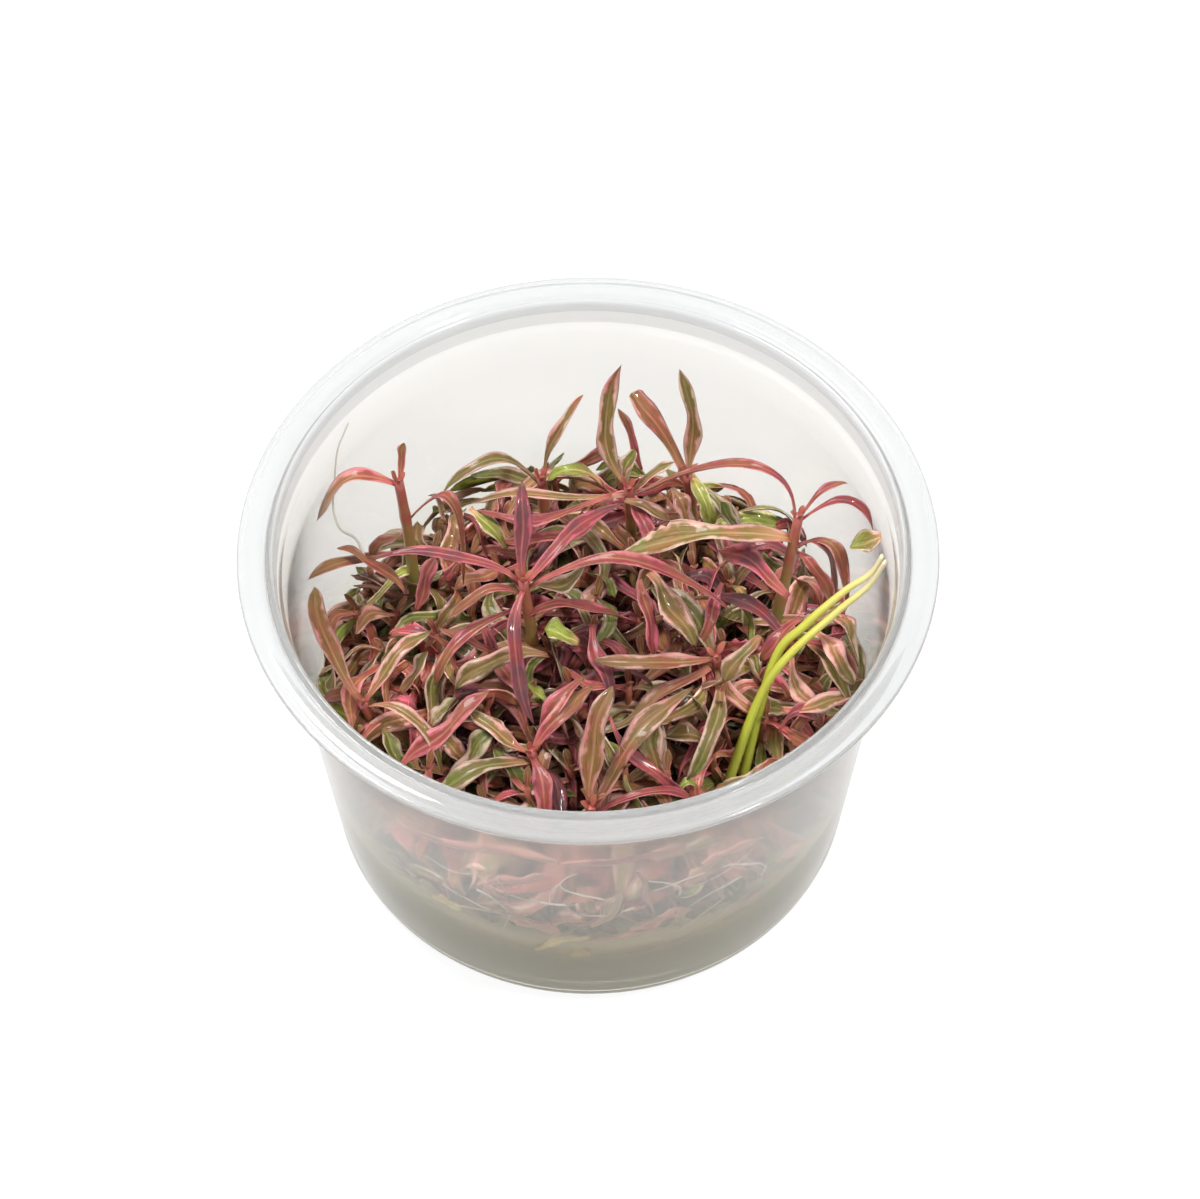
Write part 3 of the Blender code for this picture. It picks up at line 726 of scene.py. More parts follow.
# where a leaf is widest, how wavy its edge is, and how much of its width shows, when that differs
leafForms = {
    "left_arching_out": (0.62, 0.1, 1.12),
    "left_arching_in": (0.45, 0.16, 0.95),
    "right_arching_left": (0.74, 0.12, 0.68),
    "right_arching_right": (0.66, 0.1, 1.0),
    "right_low_left": (0.46, 0.26, 1.0),
    "centre_left_long": (0.42, 0.1, 0.8),
    "centre_right": (0.42, 0.1, 0.8),
    "centre_rising_back": (0.55, 0.08, 0.95),
    "centre_hanging": (0.4, 0.14, 0.9),
    "centre_back_right": (0.45, 0.2, 0.9),
    "back_tall": (0.42, 0.2, 0.95),
    "back_right_tall": (0.4, 0.24, 0.85),
    "back_right_rounded": (0.68, 0.12, 1.1),
    "back_left_arch": (0.55, 0.14, 1.0),
    "front_left_rising": (0.66, 0.12, 0.85),
    "front_right_upright": (0.5, 0.2, 1.05),
    "front_right_glossy": (0.5, 0.2, 0.95),
    "front_left": (0.55, 0.22, 0.9),
}

stem = {
    "radius": 1.05,
    "joints": (0.35, 0.62, 0.82),  # where it swells, as shares of its height
    "depthInGel": 6.0,
    "rings": 22,
    "sides": 12,
    "seed": 4,
    "youngLook": ((0.9, 0.5, 0.5), (0.75, 0.5, 0.5)),
    "bands": [  # colours from green to red
        (0.0, (0.30, 0.30, 0.07)), (0.4, (0.34, 0.26, 0.08)), (0.62, (0.40, 0.19, 0.08)),
        (0.8, (0.42, 0.12, 0.08)), (1.0, (0.44, 0.105, 0.10)),
    ],
}
plainTone = (0.5, 0.5, 0.5)


def stemPlace(shoot, height):
    foot, top = shoot["foot"], shoot["top"]
    low = gel["level"] - stem["depthInGel"]
    share = (height - low) / (top[2] - low)
    bow = 0.8 * math.sin(math.pi * min(max(share, 0.0), 1.0))
    return Vector((foot[0] + (top[0] - foot[0]) * share + bow, foot[1] + (top[1] - foot[1]) * share, height))


def leafStart(shoot, height, crown):
    centre = stemPlace(shoot, height)
    out = Vector((crown.x - centre.x, crown.y - centre.y, 0.0)).normalized()
    return centre + out * (stem["radius"] * 0.5)


def makeStemMaterial():
    material, tree, shader = newMaterial("stemSkin")
    speckle = noiseOf(tree, objectPlace(tree), 700.0, 3.0)
    shifted = plus(tree, toneOf(tree)[0], swing(tree, speckle, 0.3), clamp=True)
    fill(tree, shader, {
        "Base Color": colourRamp(tree, shifted, stem["bands"]),
        "Roughness": 0.36,
        "Coat Weight": 0.2,
        "Coat Roughness": 0.15,
        "Normal": bumpOf(tree, speckle, 0.3, 0.00015),
    })
    return material


def makeStem(shootName, shoot, rng, stemSkin):
    low, high = gel["level"] - stem["depthInGel"], shoot["top"][2]
    heap, route, radii, stemTones = newHeap(), [], [], []
    for i in range(stem["rings"]):
        share = i / (stem["rings"] - 1)
        swell = sum(math.exp(-((share - j) / 0.02) ** 2) for j in stem["joints"])
        route.append(stemPlace(shoot, low + (high - low) * i / (stem["rings"] - 1)))
        radii.append(stem["radius"] * (1.0 - 0.3 * share) * (1.0 + 0.16 * swell))
        stemTones.append((min(1.0, 0.1 + 0.85 * share**2.2 + 0.2 * swell), 0.5, 0.5))
    addTube(heap, route, radii, stemTones, stem["sides"])
    # the young leaves at its tip
    end, turn = stemPlace(shoot, high - 0.4), rng.uniform(0.0, 3.0)
    for _ in range(3):
        way = polar(1.0, turn)
        turn += 2.1
        reach = rng.uniform(1.6, 3.0)
        crown = end + way * 0.7 + upward(reach * 0.5)
        tip = end + way * rng.uniform(0.8, 1.8) + upward(reach * 0.9)
        width, start = rng.uniform(0.9, 1.3), end + way * 0.2
        addLeaf(
            heap, start, crown, tip, width, stem["youngLook"], rng,
            widest=0.5, wave=0.05, sway=0.0, twist=8.0, fine=False,
        )
    newPiece("stem" + camel(shootName), heapMesh("stem", heap), stemSkin, ["stem_" + shootName])


def makeShoots(leafSkin, stemSkin):
    rng = random.Random(stem["seed"])
    for shootName, shoot in shoots.items():
        makeStem(shootName, shoot, rng, stemSkin)
        for name, height, crown, tip, width, tone in shoot["leaves"]:
            crown, tip, heap = Vector(crown), Vector(tip), newHeap()
            leafName = f"{shootName}_{name}"
            widest, wave, shown = leafForms.get(leafName, (0.5, 0.14, 0.86))
            blunt = 0.9 if name in ("rounded", "left") else 0.45
            start = leafStart(shoot, height, crown)
            addLeaf(heap, start, crown, tip, width * shown, tones[tone], rng, 0.0, widest, blunt, wave)
            node, pieceName = "leaf_" + leafName, "leaf" + camel(leafName)
            newPiece(pieceName, heapMesh(pieceName, heap), leafSkin, [node])
    report("named shoots")


# strands on the right wall, with a spoon-shaped leaf at their end

strands = {
    "radius": 1.15,
    "thinning": 0.62,
    "seed": 9,
    "outer": [
        (19.2, -19, 18), (20.3, -17, 26), (24.6, -9.5, 36), (28.5, -6.2, 42),
        (36.0, -1.4, 47), (40.4, 0.2, 51), (42.7, 1.2, 55.6),
    ],
    "inner": [
        (22.2, -17, 18), (22.7, -15, 26), (26.9, -5.2, 40), (31.2, -2.5, 45.0),
        (37.0, 0.6, 49.2), (40.6, 1.6, 52), (42.3, 2.5, 55.2),
    ],
    "spoon": ((42.2, 5.7, 55.4), (40.6, 5.4, 55.0), (37.8, 5.6, 53.2), 4.0),
    "bands": [  # colours from the gel to the tip
        (0.0, (0.30, 0.34, 0.03)), (0.3, (0.46, 0.50, 0.045)), (0.55, (0.58, 0.56, 0.08)),
        (0.75, (0.78, 0.68, 0.24)), (1.0, (0.88, 0.78, 0.52)),
    ],
}


def makeStrandMaterial():
    material, tree, shader = newMaterial("strandSkin")
    grain = noiseOf(tree, stretched(tree, bladePlace(tree), (14.0, 1.5, 1.0)), 3.0)
    fill(tree, shader, {
        "Base Color": colourRamp(tree, toneOf(tree)[0], strands["bands"]),
        "Roughness": 0.3,
        "Coat Weight": 0.3,
        "Coat Roughness": 0.1,
        "Normal": bumpOf(tree, grain, 0.5, 0.00025),
    })
    return material


def makeStrands(leafSkin):
    strandSkin = makeStrandMaterial()
    for name in ("outer", "inner"):
        heap, node, route = newHeap(), "strand_" + name, curvedRoute(strands[name], 10)
        shares = [i / (len(route) - 1) for i in range(len(route))]
        radii = [strands["radius"] * (1.0 - strands["thinning"] * share) for share in shares]
        addTube(heap, route, radii, [(share, 0.5, 0.5) for share in shares], 12, 0.75)
        newPiece(camel(node), heapMesh(node, heap), strandSkin, [node])
    heap, rng = newHeap(), random.Random(strands["seed"])
    start, crown, tip, width = strands["spoon"]
    path = (Vector(start), Vector(crown), Vector(tip))
    addLeaf(heap, *path, width, tones["spoon"], rng, 0.0, 0.55, 1.0, 0.1)
    newPiece("leafSpoon", heapMesh("leafSpoon", heap), leafSkin, ["leaf_spoon"])
    report("strands")


# leaves of the thicket that can be told apart: start, crown, tip, width and look
looseLeaves = {
    "mauveLong": ((-27.5, -18.0, 32), (-21.5, -14.5, 37), (-14.5, -9.5, 39), 3.2, "rose"),
    "greenEdged": ((-20.5, -20.0, 30), (-17.5, -18.0, 35), (-13.5, -14.5, 37), 3.6, "green"),
    "besideFan": ((-6.5, -16.0, 34), (-5.5, -12.5, 38.5), (-0.5, -7.5, 40), 2.8, "crimson"),
    "underFan": ((-6.0, -10.5, 37), (-7.5, -10.0, 39), (-9.0, -9.0, 40), 2.6, "leafGreen"),
    "glossyBend": ((17.5, -5.5, 39), (9.5, -11.5, 38.5), (2.0, -15.0, 36), 3.4, "grey"),
    "crimsonSlant": ((3.0, -13.5, 38), (7.5, -20.5, 36), (15.0, -22.5, 30), 1.9, "crimson"),
    "pinkEdgedLow": ((10.5, -20.5, 31), (9.0, -18.0, 36), (9.5, -14.5, 39), 3.8, "blush"),
    "broadVariegated": ((9.0, 6.5, 46), (12.5, 1.0, 45.0), (15.5, -3.0, 41), 4.0, "pale"),
    "plumDown": ((7.5, 6.0, 45), (8.5, 0.0, 44), (9.5, -3.5, 39), 2.2, "plumEdged"),
    "roseDown": ((19.5, 6.0, 44), (18.0, 1.0, 43.5), (16.0, -2.5, 40), 2.0, "crimson"),
    "crimsonPair": ((29.0, 2.0, 46), (24.0, 6.0, 48.4), (19.0, 10.0, 46.5), 3.2, "crimson"),
    "wallPink": ((28.0, -11.0, 36), (33.0, -12.0, 38.5), (38.8, -8.5, 36.5), 2.6, "blush"),
    "wallLong": ((33.0, -0.5, 41), (35.5, -5.6, 42.5), (38.4, -8.5, 38.6), 2.8, "blush"),
    "wallSecond": ((32.0, -2.0, 40), (35.0, -6.5, 40.5), (38.2, -10.5, 36), 2.4, "pale"),
    "curl": ((27.5, -13.5, 34), (31.0, -12.5, 38), (34.0, -12.5, 33), 2.0, "rose"),
    "wallSmall": ((33.0, 0.5, 42), (35.5, 1.0, 44), (37.0, 3.0, 43), 2.2, "pale"),
    "fallBack": ((31.0, 1.0, 42), (27.5, -3.0, 42.5), (25.0, -4.5, 39), 2.6, "rose"),
    "nearStrands": ((25.0, -1.5, 41), (22.0, -5.0, 41), (19.5, -7.5, 38), 2.8, "pale"),
    "narrowFirst": ((30.5, 8.0, 50), (34.6, 8.0, 50), (36.0, 4.0, 41), 2.0, "crimson"),
    "narrowSecond": ((30.5, 8.5, 48), (33.5, 5.5, 47.5), (35.6, 3.5, 42), 2.0, "rose"),
    "redBehindLong": ((3.5, 23.0, 43), (-6.5, 18.5, 44), (-16.5, 21.0, 42), 2.4, "crimson"),
    "redBehindLow": ((3.5, 22.5, 42), (-4.0, 16.5, 42), (-13.0, 17.5, 39), 2.2, "rose"),
    "curledGreen": ((2.0, 25.0, 43), (-2.0, 25.5, 46.5), (-6.0, 25.0, 44), 2.4, "leafGreen"),
    "paleBehind": ((5.0, 25.0, 43), (6.0, 26.0, 46.5), (7.0, 27.5, 48), 2.4, "pale"),
    "redBehindTall": ((8.0, 27.0, 44), (6.5, 29.0, 49), (4.5, 31.5, 53), 1.6, "rose"),
    "rightOfBack": ((5.5, 22.0, 43), (9.5, 19.5, 44), (13.0, 19.0, 40.5), 2.4, "olive"),
    "farRight": ((22.5, 18.0, 40), (21.0, 19.0, 43), (19.5, 20.0, 45), 2.4, "green"),
    "backPink": ((12.5, 25.0, 42), (14.0, 21.0, 42.5), (15.5, 19.5, 39), 2.6, "pale"),
    "backGreen": ((15.5, 27.0, 43), (17.0, 21.5, 43.5), (18.5, 19.5, 39.5), 2.4, "leafGreen"),
    "leftGreen": ((-17.5, 21.5, 42), (-14.5, 18.0, 41.5), (-12.0, 17.0, 38), 2.6, "leafGreen"),
    "pinkCross": ((-25.5, 6.5, 37), (-24.0, 8.5, 41), (-22.5, 12.0, 43), 2.4, "crimson"),
    "brownByWall": ((-27.0, 7.5, 40), (-31.5, 9.5, 45.4), (-36.8, 11.0, 46.4), 2.2, "brown"),
    "brownLow": ((-27.5, 15.0, 44), (-30.0, 12.5, 46), (-32.0, 11.5, 44), 2.2, "brown"),
    "greyUnder": ((-8.5, 5.5, 45), (-4.0, 5.5, 44.5), (-0.5, 8.0, 46), 2.8, "green"),
    "longPink": ((-9.0, 2.0, 42), (-2.0, 2.5, 43.5), (5.5, 2.5, 40), 2.8, "rose"),
    "backToFront": ((0.5, 1.5, 40), (1.5, -4.5, 40), (3.5, -9.0, 37), 2.6, "plumEdged"),
    "leftOfStem": ((-16.0, 2.0, 40), (-13.0, -3.0, 38), (-10.0, -8.0, 36), 2.4, "rose"),
    "shortPale": ((-27.5, -7.0, 35), (-25.5, -5.5, 38.5), (-23.5, -3.0, 40), 2.6, "pale"),
    "acrossLeft": ((-13.5, -2.0, 38), (-17.5, -1.5, 40.5), (-22.0, 1.0, 40), 2.4, "rose"),
    "longOlive": ((-6.0, -2.5, 38), (-14.5, -5.0, 40.5), (-19.5, -7.5, 36.5), 3.0, "olive"),
    "brightSpot": ((-1.5, -1.0, 39), (-4.0, -1.0, 41.5), (-6.5, 0.0, 41), 3.6, "leafGreen"),
    "leftLow": ((-23.0, -11.5, 33), (-21.5, -10.5, 35.5), (-19.0, -9.0, 36.5), 3.0, "green"),
    "wallFront": ((-30.5, -10.5, 32), (-28.5, -15.5, 33), (-26.0, -17.5, 30), 2.8, "green"),
    "roundTipped": ((-9.0, -22.5, 29), (-11.0, -20.0, 33), (-14.0, -17.0, 35.5), 2.8, "green"),
    "frontGlimpse": ((5.0, -21.0, 29), (4.0, -18.5, 33), (2.5, -15.5, 35), 2.6, "leafGreen"),
    "rightLow": ((17.5, -16.0, 33), (14.5, -15.0, 36), (9.5, -15.0, 34.5), 3.4, "olive"),
    "rightTiny": ((12.5, -21.5, 30), (14.0, -21.0, 32), (15.5, -21.0, 31), 1.9, "leafGreen"),
    "pinkAcross": ((15.0, -8.0, 36), (18.5, -7.0, 37.5), (21.5, -4.5, 37), 2.2, "blush"),
}

# the thicket of small leaves

thicket = {
    "shoots": 92,
    "seed": 23,
    "tries": 8000,  # to find the shoots their places
    "top": 35.0,
    "drop": 6.0,
    "swell": 3.0,
    "swellWidth": 17.0,
    "crown": (4.0, 6.0),
    "spread": 38.0,
    "stemRadius": 0.75,
    "length": (8.5, 21.0),
    "width": (1.8, 3.5),
    "tiers": 4,
    "perPiece": 200,
    "lowLeaves": 4,
    "lowLength": (9.0, 15.0),
    "lowWidth": (2.4, 3.8),
    "lowLooks": ("brown", "olive", "green", "leafGreen", "brown"),
    "leafRoom": 1.6,  # from the wall to the middle of a leaf
    "tipRoom": 0.9,
    # painted light and shade on the small leaves by part of the tub: lightest at the left and right, darkest
    # in the middle
    "lighter": {"left": 0.5, "centre": -0.1, "right": 0.6, "front": 0.28, "back": 0.18},
    "looks": {
        "left": (
            "rose", "brown", "amber", "green", "leafGreen", "pale", "olive", "crimson", "leafGreen", "amber",
            "olive",
        ),
        "centre": ("crimson", "plumEdged", "plum", "plum", "crimson", "brown", "green", "grey"),
        "right": ("rose", "blush", "pale", "brown", "olive", "crimson", "green", "rose", "amber"),
        "front": ("brown", "rose", "green", "grey", "crimson", "pale", "brown", "amber", "olive"),
        "back": ("crimson", "rose", "green", "pale", "leafGreen", "brown", "olive", "plumEdged", "amber"),
    },
}


def canopyTop(x, y):
    out = math.hypot(x, y) / innerRadius(thicket["top"])
    rough = 1.5 * math.sin(0.55 * x + 0.3 * y) + 1.2 * math.sin(0.48 * y - 0.35 * x + 2.0)
    away = math.hypot(x - thicket["crown"][0], y - thicket["crown"][1]) / thicket["swellWidth"]
    return thicket["top"] + rough - thicket["drop"] * out**4 + thicket["swell"] * math.exp(-away * away)


def partOf(spot):
    if spot.y < -16.0:
        return "front"
    if spot.y > 13.0:
        return "back"
    return "left" if spot.x < -13.0 else "right" if spot.x > 13.0 else "centre"


def namedPoints():
    # places along the named leaves, with the room that each one takes
    found = []
    for shoot in shoots.values():
        for _, height, crown, tip, width, _ in shoot["leaves"]:
            crown, tip = Vector(crown), Vector(tip)
            start = leafStart(shoot, height, crown)
            for i in range(11):
                found.append((midrib(start, crown, tip, i / 10.0)[0], width * 0.5))
    # small leaves also keep out of the room in front of the strands
    for name in ("outer", "inner"):
        for place in curvedRoute(strands[name], 4):
            for forward in (0.0, 2.5, 5.0):
                found.append((place + Vector((0.0, -forward, -0.6 * forward)), 1.4))
    return found


def shifted(look, rng, lighter=0.0):
    # the same look, a little off
    offset = (rng.uniform(-0.09, 0.09), rng.uniform(-0.3, 0.3), rng.uniform(-0.18, 0.2) + lighter)
    return tuple(tuple(a + b for a, b in zip(tone, offset)) for tone in look)


def findSpots(rng):
    # places for the shoots, well apart, with less room asked for as the tries go on
    spots, tries = [], 0
    while len(spots) < thicket["shoots"] and tries < thicket["tries"]:
        tries += 1
        turn, out = rng.uniform(-math.pi, math.pi), thicket["spread"] * math.sqrt(rng.random())
        spot = polar(out, turn)
        if all((spot - other).length > 5.6 * 0.92 ** (tries / 900) for other in spots):
            spots.append(spot)
    return spots


def riseOver(start, crown, tip, named):
    # how far the leaf stands in the room of a named leaf
    high = 0.0
    for i in (3, 5, 7, 10):
        place = midrib(start, crown, tip, i / 10.0)[0]
        for other, room in named:
            aside, ahead = other.x - place.x, other.y - place.y
            if max(abs(aside), abs(ahead)) >= 4.5 or math.hypot(aside, ahead) >= room + 1.6:
                continue
            if other.z - 0.8 < place.z < other.z + 6.0:
                high = max(high, place.z - other.z + 0.9)
    return high


def addPairedLeaf(heap, rng, node, heading, tier, spot, named):
    # the leaves at the top are shorter, and the lower ones hang more and are darker as painted shade
    length = rng.uniform(*thicket["length"]) * (0.72 if tier == 0 else 1.0)
    width = rng.uniform(*thicket["width"]) * (0.8 if tier == 0 else 1.0)
    climb = rng.uniform(0.25, 1.0) if tier < 2 else rng.uniform(-0.1, 0.5)
    way = polar(1.0, heading)
    aside = Vector((-way.y, way.x, 0.0)) * (length * rng.uniform(-0.2, 0.2))
    crown = node + way * (length * 0.46) - aside * 0.5 + upward(length * (0.12 + 0.25 * climb))
    tip = node + way * (length * 0.88) + aside + upward(length * (0.34 * climb - 0.12))
    ceiling = canopyTop(tip.x, tip.y) + 3.4
    crown.z, tip.z = min(crown.z, ceiling), min(tip.z, ceiling)
    crown, tip = insideWall(crown, thicket["leafRoom"]), insideWall(tip, thicket["tipRoom"])
    for _ in range(6):
        high = riseOver(node, crown, tip, named)
        if high <= 0.0:
            break
        crown.z -= high
        tip.z -= high
    crown.z = max(crown.z, gelTop(crown.x, crown.y) + 1.0)
    tip.z = max(tip.z, gelTop(tip.x, tip.y) + 1.0)
    part = partOf(spot)
    look = tones[rng.choice(thicket["looks"][part])]
    # painted light and shade by part, and painted shade that darkens each tier lower down the shoot
    look = shifted(look, rng, thicket["lighter"][part] - 0.09 * tier)
    roll, widest, blunt = rng.uniform(-60, 60), rng.uniform(0.36, 0.7), rng.uniform(0.2, 1.0)
    addLeaf(heap, node, crown, tip, width, look, rng, roll, widest, blunt, 0.22, 0.07, 50.0, False)


def addLowLeaf(heap, rng, node):
    # an old leaf in dull colours that lies just over the gel, darkened further as painted shade under the
    # thicket
    way = polar(1.0, rng.uniform(-math.pi, math.pi))
    length = rng.uniform(*thicket["lowLength"])
    crown = insideWall(node + way * length * 0.5, thicket["leafRoom"])
    tip = insideWall(node + way * length, thicket["tipRoom"])
    crown.z = gelTop(crown.x, crown.y) + rng.uniform(1.5, 4.0)
    tip.z = gelTop(tip.x, tip.y) + rng.uniform(0.6, 3.0)
    # darker by 0.22: painted shade under the thicket
    look = shifted(tones[rng.choice(thicket["lowLooks"])], rng, -0.22)
    width, roll = rng.uniform(*thicket["lowWidth"]), rng.uniform(-30, 30)
    addLeaf(heap, node, crown, tip, width, look, rng, roll, 0.5, 0.6, 0.15, 0.04, 20.0, False)


def addYoungPair(heap, rng, top, turn):
    # at the tip of the shoot
    for half in range(2):
        way = polar(1.0, turn + 0.8 + math.pi * half)
        tip = insideWall(top + way * 1.8 + upward(rng.uniform(2.0, 3.6)), 1.0)
        crown = top + way * 0.9 + upward(1.8)
        addLeaf(
            heap, top, crown, tip, 1.2, tones["amber"], rng,
            widest=0.5, blunt=0.4, wave=0.05, sway=0.0, twist=10.0, fine=False,
        )


def makeThicket(leafSkin, stemSkin):
    rng = random.Random(thicket["seed"])
    named, spots = namedPoints(), findSpots(rng)
    leaves, stems, heaps, placed = newHeap(), newHeap(), [], 0
    for start, crown, tip, width, look in looseLeaves.values():
        path = (Vector(start), Vector(crown), Vector(tip))
        look, roll, widest = shifted(tones[look], rng), rng.uniform(-25, 25), rng.uniform(0.42, 0.6)
        addLeaf(leaves, *path, width, look, rng, roll, widest, 0.6, 0.2, 0.04, 25.0)
    for spot in spots:
        top = canopyTop(spot.x, spot.y) - rng.uniform(0.0, 3.5)
        foot = spot - Vector((rng.uniform(-2.5, 2.5), rng.uniform(-2.5, 2.5), 0.0))
        base = Vector((foot.x, foot.y, gelTop(foot.x, foot.y) - 2.0))
        route = [base.lerp(Vector((spot.x, spot.y, top)), i / 7.0) for i in range(8)]
        route = [insideWall(p, thicket["leafRoom"]) for p in route]
        radii = [thicket["stemRadius"] - 0.035 * i for i in range(8)]
        addTube(stems, route, radii, [(0.25 + 0.08 * i, 0.5, 0.5) for i in range(8)], 7)
        turn = rng.uniform(0.0, 3.14)
        for tier in range(thicket["tiers"]):
            node = route[7].lerp(route[0], 0.05 + 0.2 * tier)
            turn += math.pi / 2.0 + rng.uniform(-0.3, 0.3)
            for half in range(2):
                heading = turn + math.pi * half + rng.uniform(-0.35, 0.35)
                addPairedLeaf(leaves, rng, node, heading, tier, spot, named)
                placed += 1
        for low in range(thicket["lowLeaves"]):
            addLowLeaf(leaves, rng, route[0].lerp(route[7], 0.16 + 0.07 * low))
        addYoungPair(leaves, rng, route[7], turn)
        if placed > thicket["perPiece"] * (len(heaps) + 1):
            heaps.append(leaves)
            leaves = newHeap()
    for i, heap in enumerate(heaps + [leaves]):
        name = f"smallLeaves{i + 1}"
        newPiece(name, heapMesh(name, heap), leafSkin, ["thicket"])
    newPiece("smallStems", heapMesh("smallStems", stems), stemSkin, ["thicket"])
    report(f"thicket of {len(spots)} shoots with {placed} leaves in pairs")


# what shows in the gel through the wall

gelContents = {
    "seed": 5,
    "roots": 46,
    # degrees round the tub, height
    "rootClumps": [(-116, 31), (-104, 35), (-64, 30), (-54, 22), (-86, 29), (-128, 24)],
    "rootTints": ((0.56, 0.53, 0.44), (0.70, 0.66, 0.58)),
    "rootHeights": (3.4, 44.0),
    "rootSize": (0.07, 0.16),
    "pressedLeaves": 46,  # on the other sides
    "pressedLooks": ("rose", "blush", "green", "pale", "crimson", "amber", "blush", "leafGreen", "olive"),
    # a pale, seed-like scrap, placed as the wall leaves are
    "scrap": ((-115, 36.0), (-113, 36.8), (-110.5, 37.3)),
    "scrapLook": ((0.3, 2.0, 1.1), (0.3, 2.0, 1.1)),
    "bubbles": 150,
    "dropsLeft": 22,
    "bubbleSize": (0.2, 0.5),
    # a hair-thin root on the back left of the wall
    "hair": [
        (-35.0, 26.0, 57.0), (-36.6, 22.6, 55.0), (-37.2, 19.0, 51.0), (-37.4, 16.6, 48.6),
        (-36.4, 14.0, 47.2), (-34.0, 12.6, 46.4), (-32.4, 9.4, 44.6),
    ],
}

# Leaves that lie against the front of the wall: three places as (degrees round the tub, height), width and
# look.
wallLeaves = {
    "pinkTopLeft": ((-130, 38.6), (-114, 42.9), (-96, 44.5), 2.1, "wallPink"),
    "pinkTopMiddle": ((-96, 43.9), (-82, 45.0), (-65, 43.0), 2.3, "wallPink"),
    "paleUnderRim": ((-78, 43.5), (-71, 43.9), (-64, 44.0), 2.6, "pale"),
    "brownPaleEdged": ((-71, 32.8), (-67, 34.4), (-62, 38.2), 4.2, "brown"),
    "pinkLineRight": ((-68, 38.3), (-62, 38.6), (-53, 37.1), 1.8, "wallPink"),
    "pinkFarRight": ((-48, 25.2), (-42, 23.1), (-35, 20.2), 2.2, "wallPink"),
    "redPinkLeft": ((-109, 24.0), (-103, 23.2), (-96, 21.9), 3.2, "wallPink"),
    "redPinkMiddle": ((-82, 22.2), (-76, 23.6), (-69, 24.6), 3.0, "wallPink"),
    "pinkLine": ((-92, 19.6), (-84, 19.8), (-75, 21.3), 1.4, "wallPink"),
    "greenMiddle": ((-102, 14.7), (-97, 18.2), (-90, 20.6), 2.2, "wallGreen"),
    "greenLow": ((-98, 9.5), (-94, 12.7), (-90, 15.6), 2.8, "wallGreen"),
    "greenRight": ((-66, 10.1), (-59, 12.6), (-53, 15.1), 2.6, "wallGreen"),
    "greenLeft": ((-125, 20.7), (-122, 20.8), (-118, 20.8), 2.6, "wallGreen"),
    "plumRight": ((-57, 18.5), (-53, 18.8), (-50, 18.7), 2.2, "plum"),
    "oliveRight": ((-49, 19.0), (-44, 19.4), (-40, 19.9), 2.0, "olive"),
    "brownTopLeft": ((-144, 26.4), (-141, 25.9), (-138, 26.0), 2.4, "brown"),
    "pinkMiddleLeft": ((-113, 32.1), (-106, 35.4), (-99, 40.0), 2.0, "wallPink"),
    "redUpright": ((-81, 41.1), (-79, 34.4), (-77, 26.4), 1.4, "crimson"),
    "paleSwirl": ((-90, 24.3), (-86, 28.6), (-84, 34.9), 2.6, "pale"),
    "pinkLowRight": ((-82, 14.0), (-73, 13.3), (-65, 12.3), 1.5, "wallPink"),
    "greenFoot": ((-84, 7.2), (-80, 5.4), (-76, 4.6), 1.8, "wallGreen"),
    "oliveLeft": ((-136, 22.0), (-128, 22.5), (-123, 23.3), 1.8, "olive"),
}


def onWall(turn, height, room):
    return polar(innerRadius(height) - room, turn, height)


def againstWall(places, room):
    return [onWall(math.radians(degrees), height, room) for degrees, height in places]


def makeRootSkin():
    material, tree, shader = newMaterial("rootSkin")
    mottle = noiseOf(tree, objectPlace(tree), 300.0)
    colour = blendColour(tree, mottle, *gelContents["rootTints"])
    fill(tree, shader, {"Base Color": colour, "Roughness": 0.4})
    return material


def makeBubbleSkin():
    material, tree, shader = newMaterial("bubbleSkin")
    fill(tree, shader, {
        "Base Color": (1.0, 1.0, 1.0),
        "Roughness": 0.02,
        "Transmission Weight": 1.0,
        "IOR": 1.0,
        "Specular IOR Level": 1.0,
    })
    return material


def makeRoots(rng, rootSkin):
    roots = newHeap()
    for i in range(gelContents["roots"]):
        turn, height = rng.uniform(-0.4, 3.5), rng.uniform(5.0, 20.0)
        if i % 2:
            degrees, middle = rng.choice(gelContents["rootClumps"])
            turn, height = math.radians(degrees + rng.uniform(-9.0, 9.0)), middle + rng.uniform(-4.0, 4.0)
        points, heading, curl = [], rng.uniform(-math.pi, math.pi), rng.uniform(-0.35, 0.35)
        for _ in range(rng.randint(5, 9)):
            lowest, highest = gelContents["rootHeights"]
            height = min(max(height, lowest), highest)
            out = innerRadius(height) - rng.uniform(0.25, 0.4)
            points.append(polar(out, turn, height))
            heading += curl + rng.uniform(-0.3, 0.3)
            turn += 2.2 * math.cos(heading) / out
            height += 1.5 * math.sin(heading)
        route, size = curvedRoute(points, 4), rng.uniform(*gelContents["rootSize"])
        count = len(route)
        addTube(roots, route, [size * (1.0 - 0.6 * k / count) for k in range(count)], [plainTone] * count, 6)
    newPiece("gelRoots", heapMesh("gelRoots", roots), rootSkin)


def makeHairRoot(rootSkin):
    hair = newHeap()
    route = [insideWall(p, 0.5) for p in curvedRoute(gelContents["hair"], 6)]
    count = len(route)
    addTube(hair, route, [0.1 + 0.12 * k / count for k in range(count)], [plainTone] * count, 6)
    newPiece("hairRoot", heapMesh("hairRoot", hair), rootSkin)


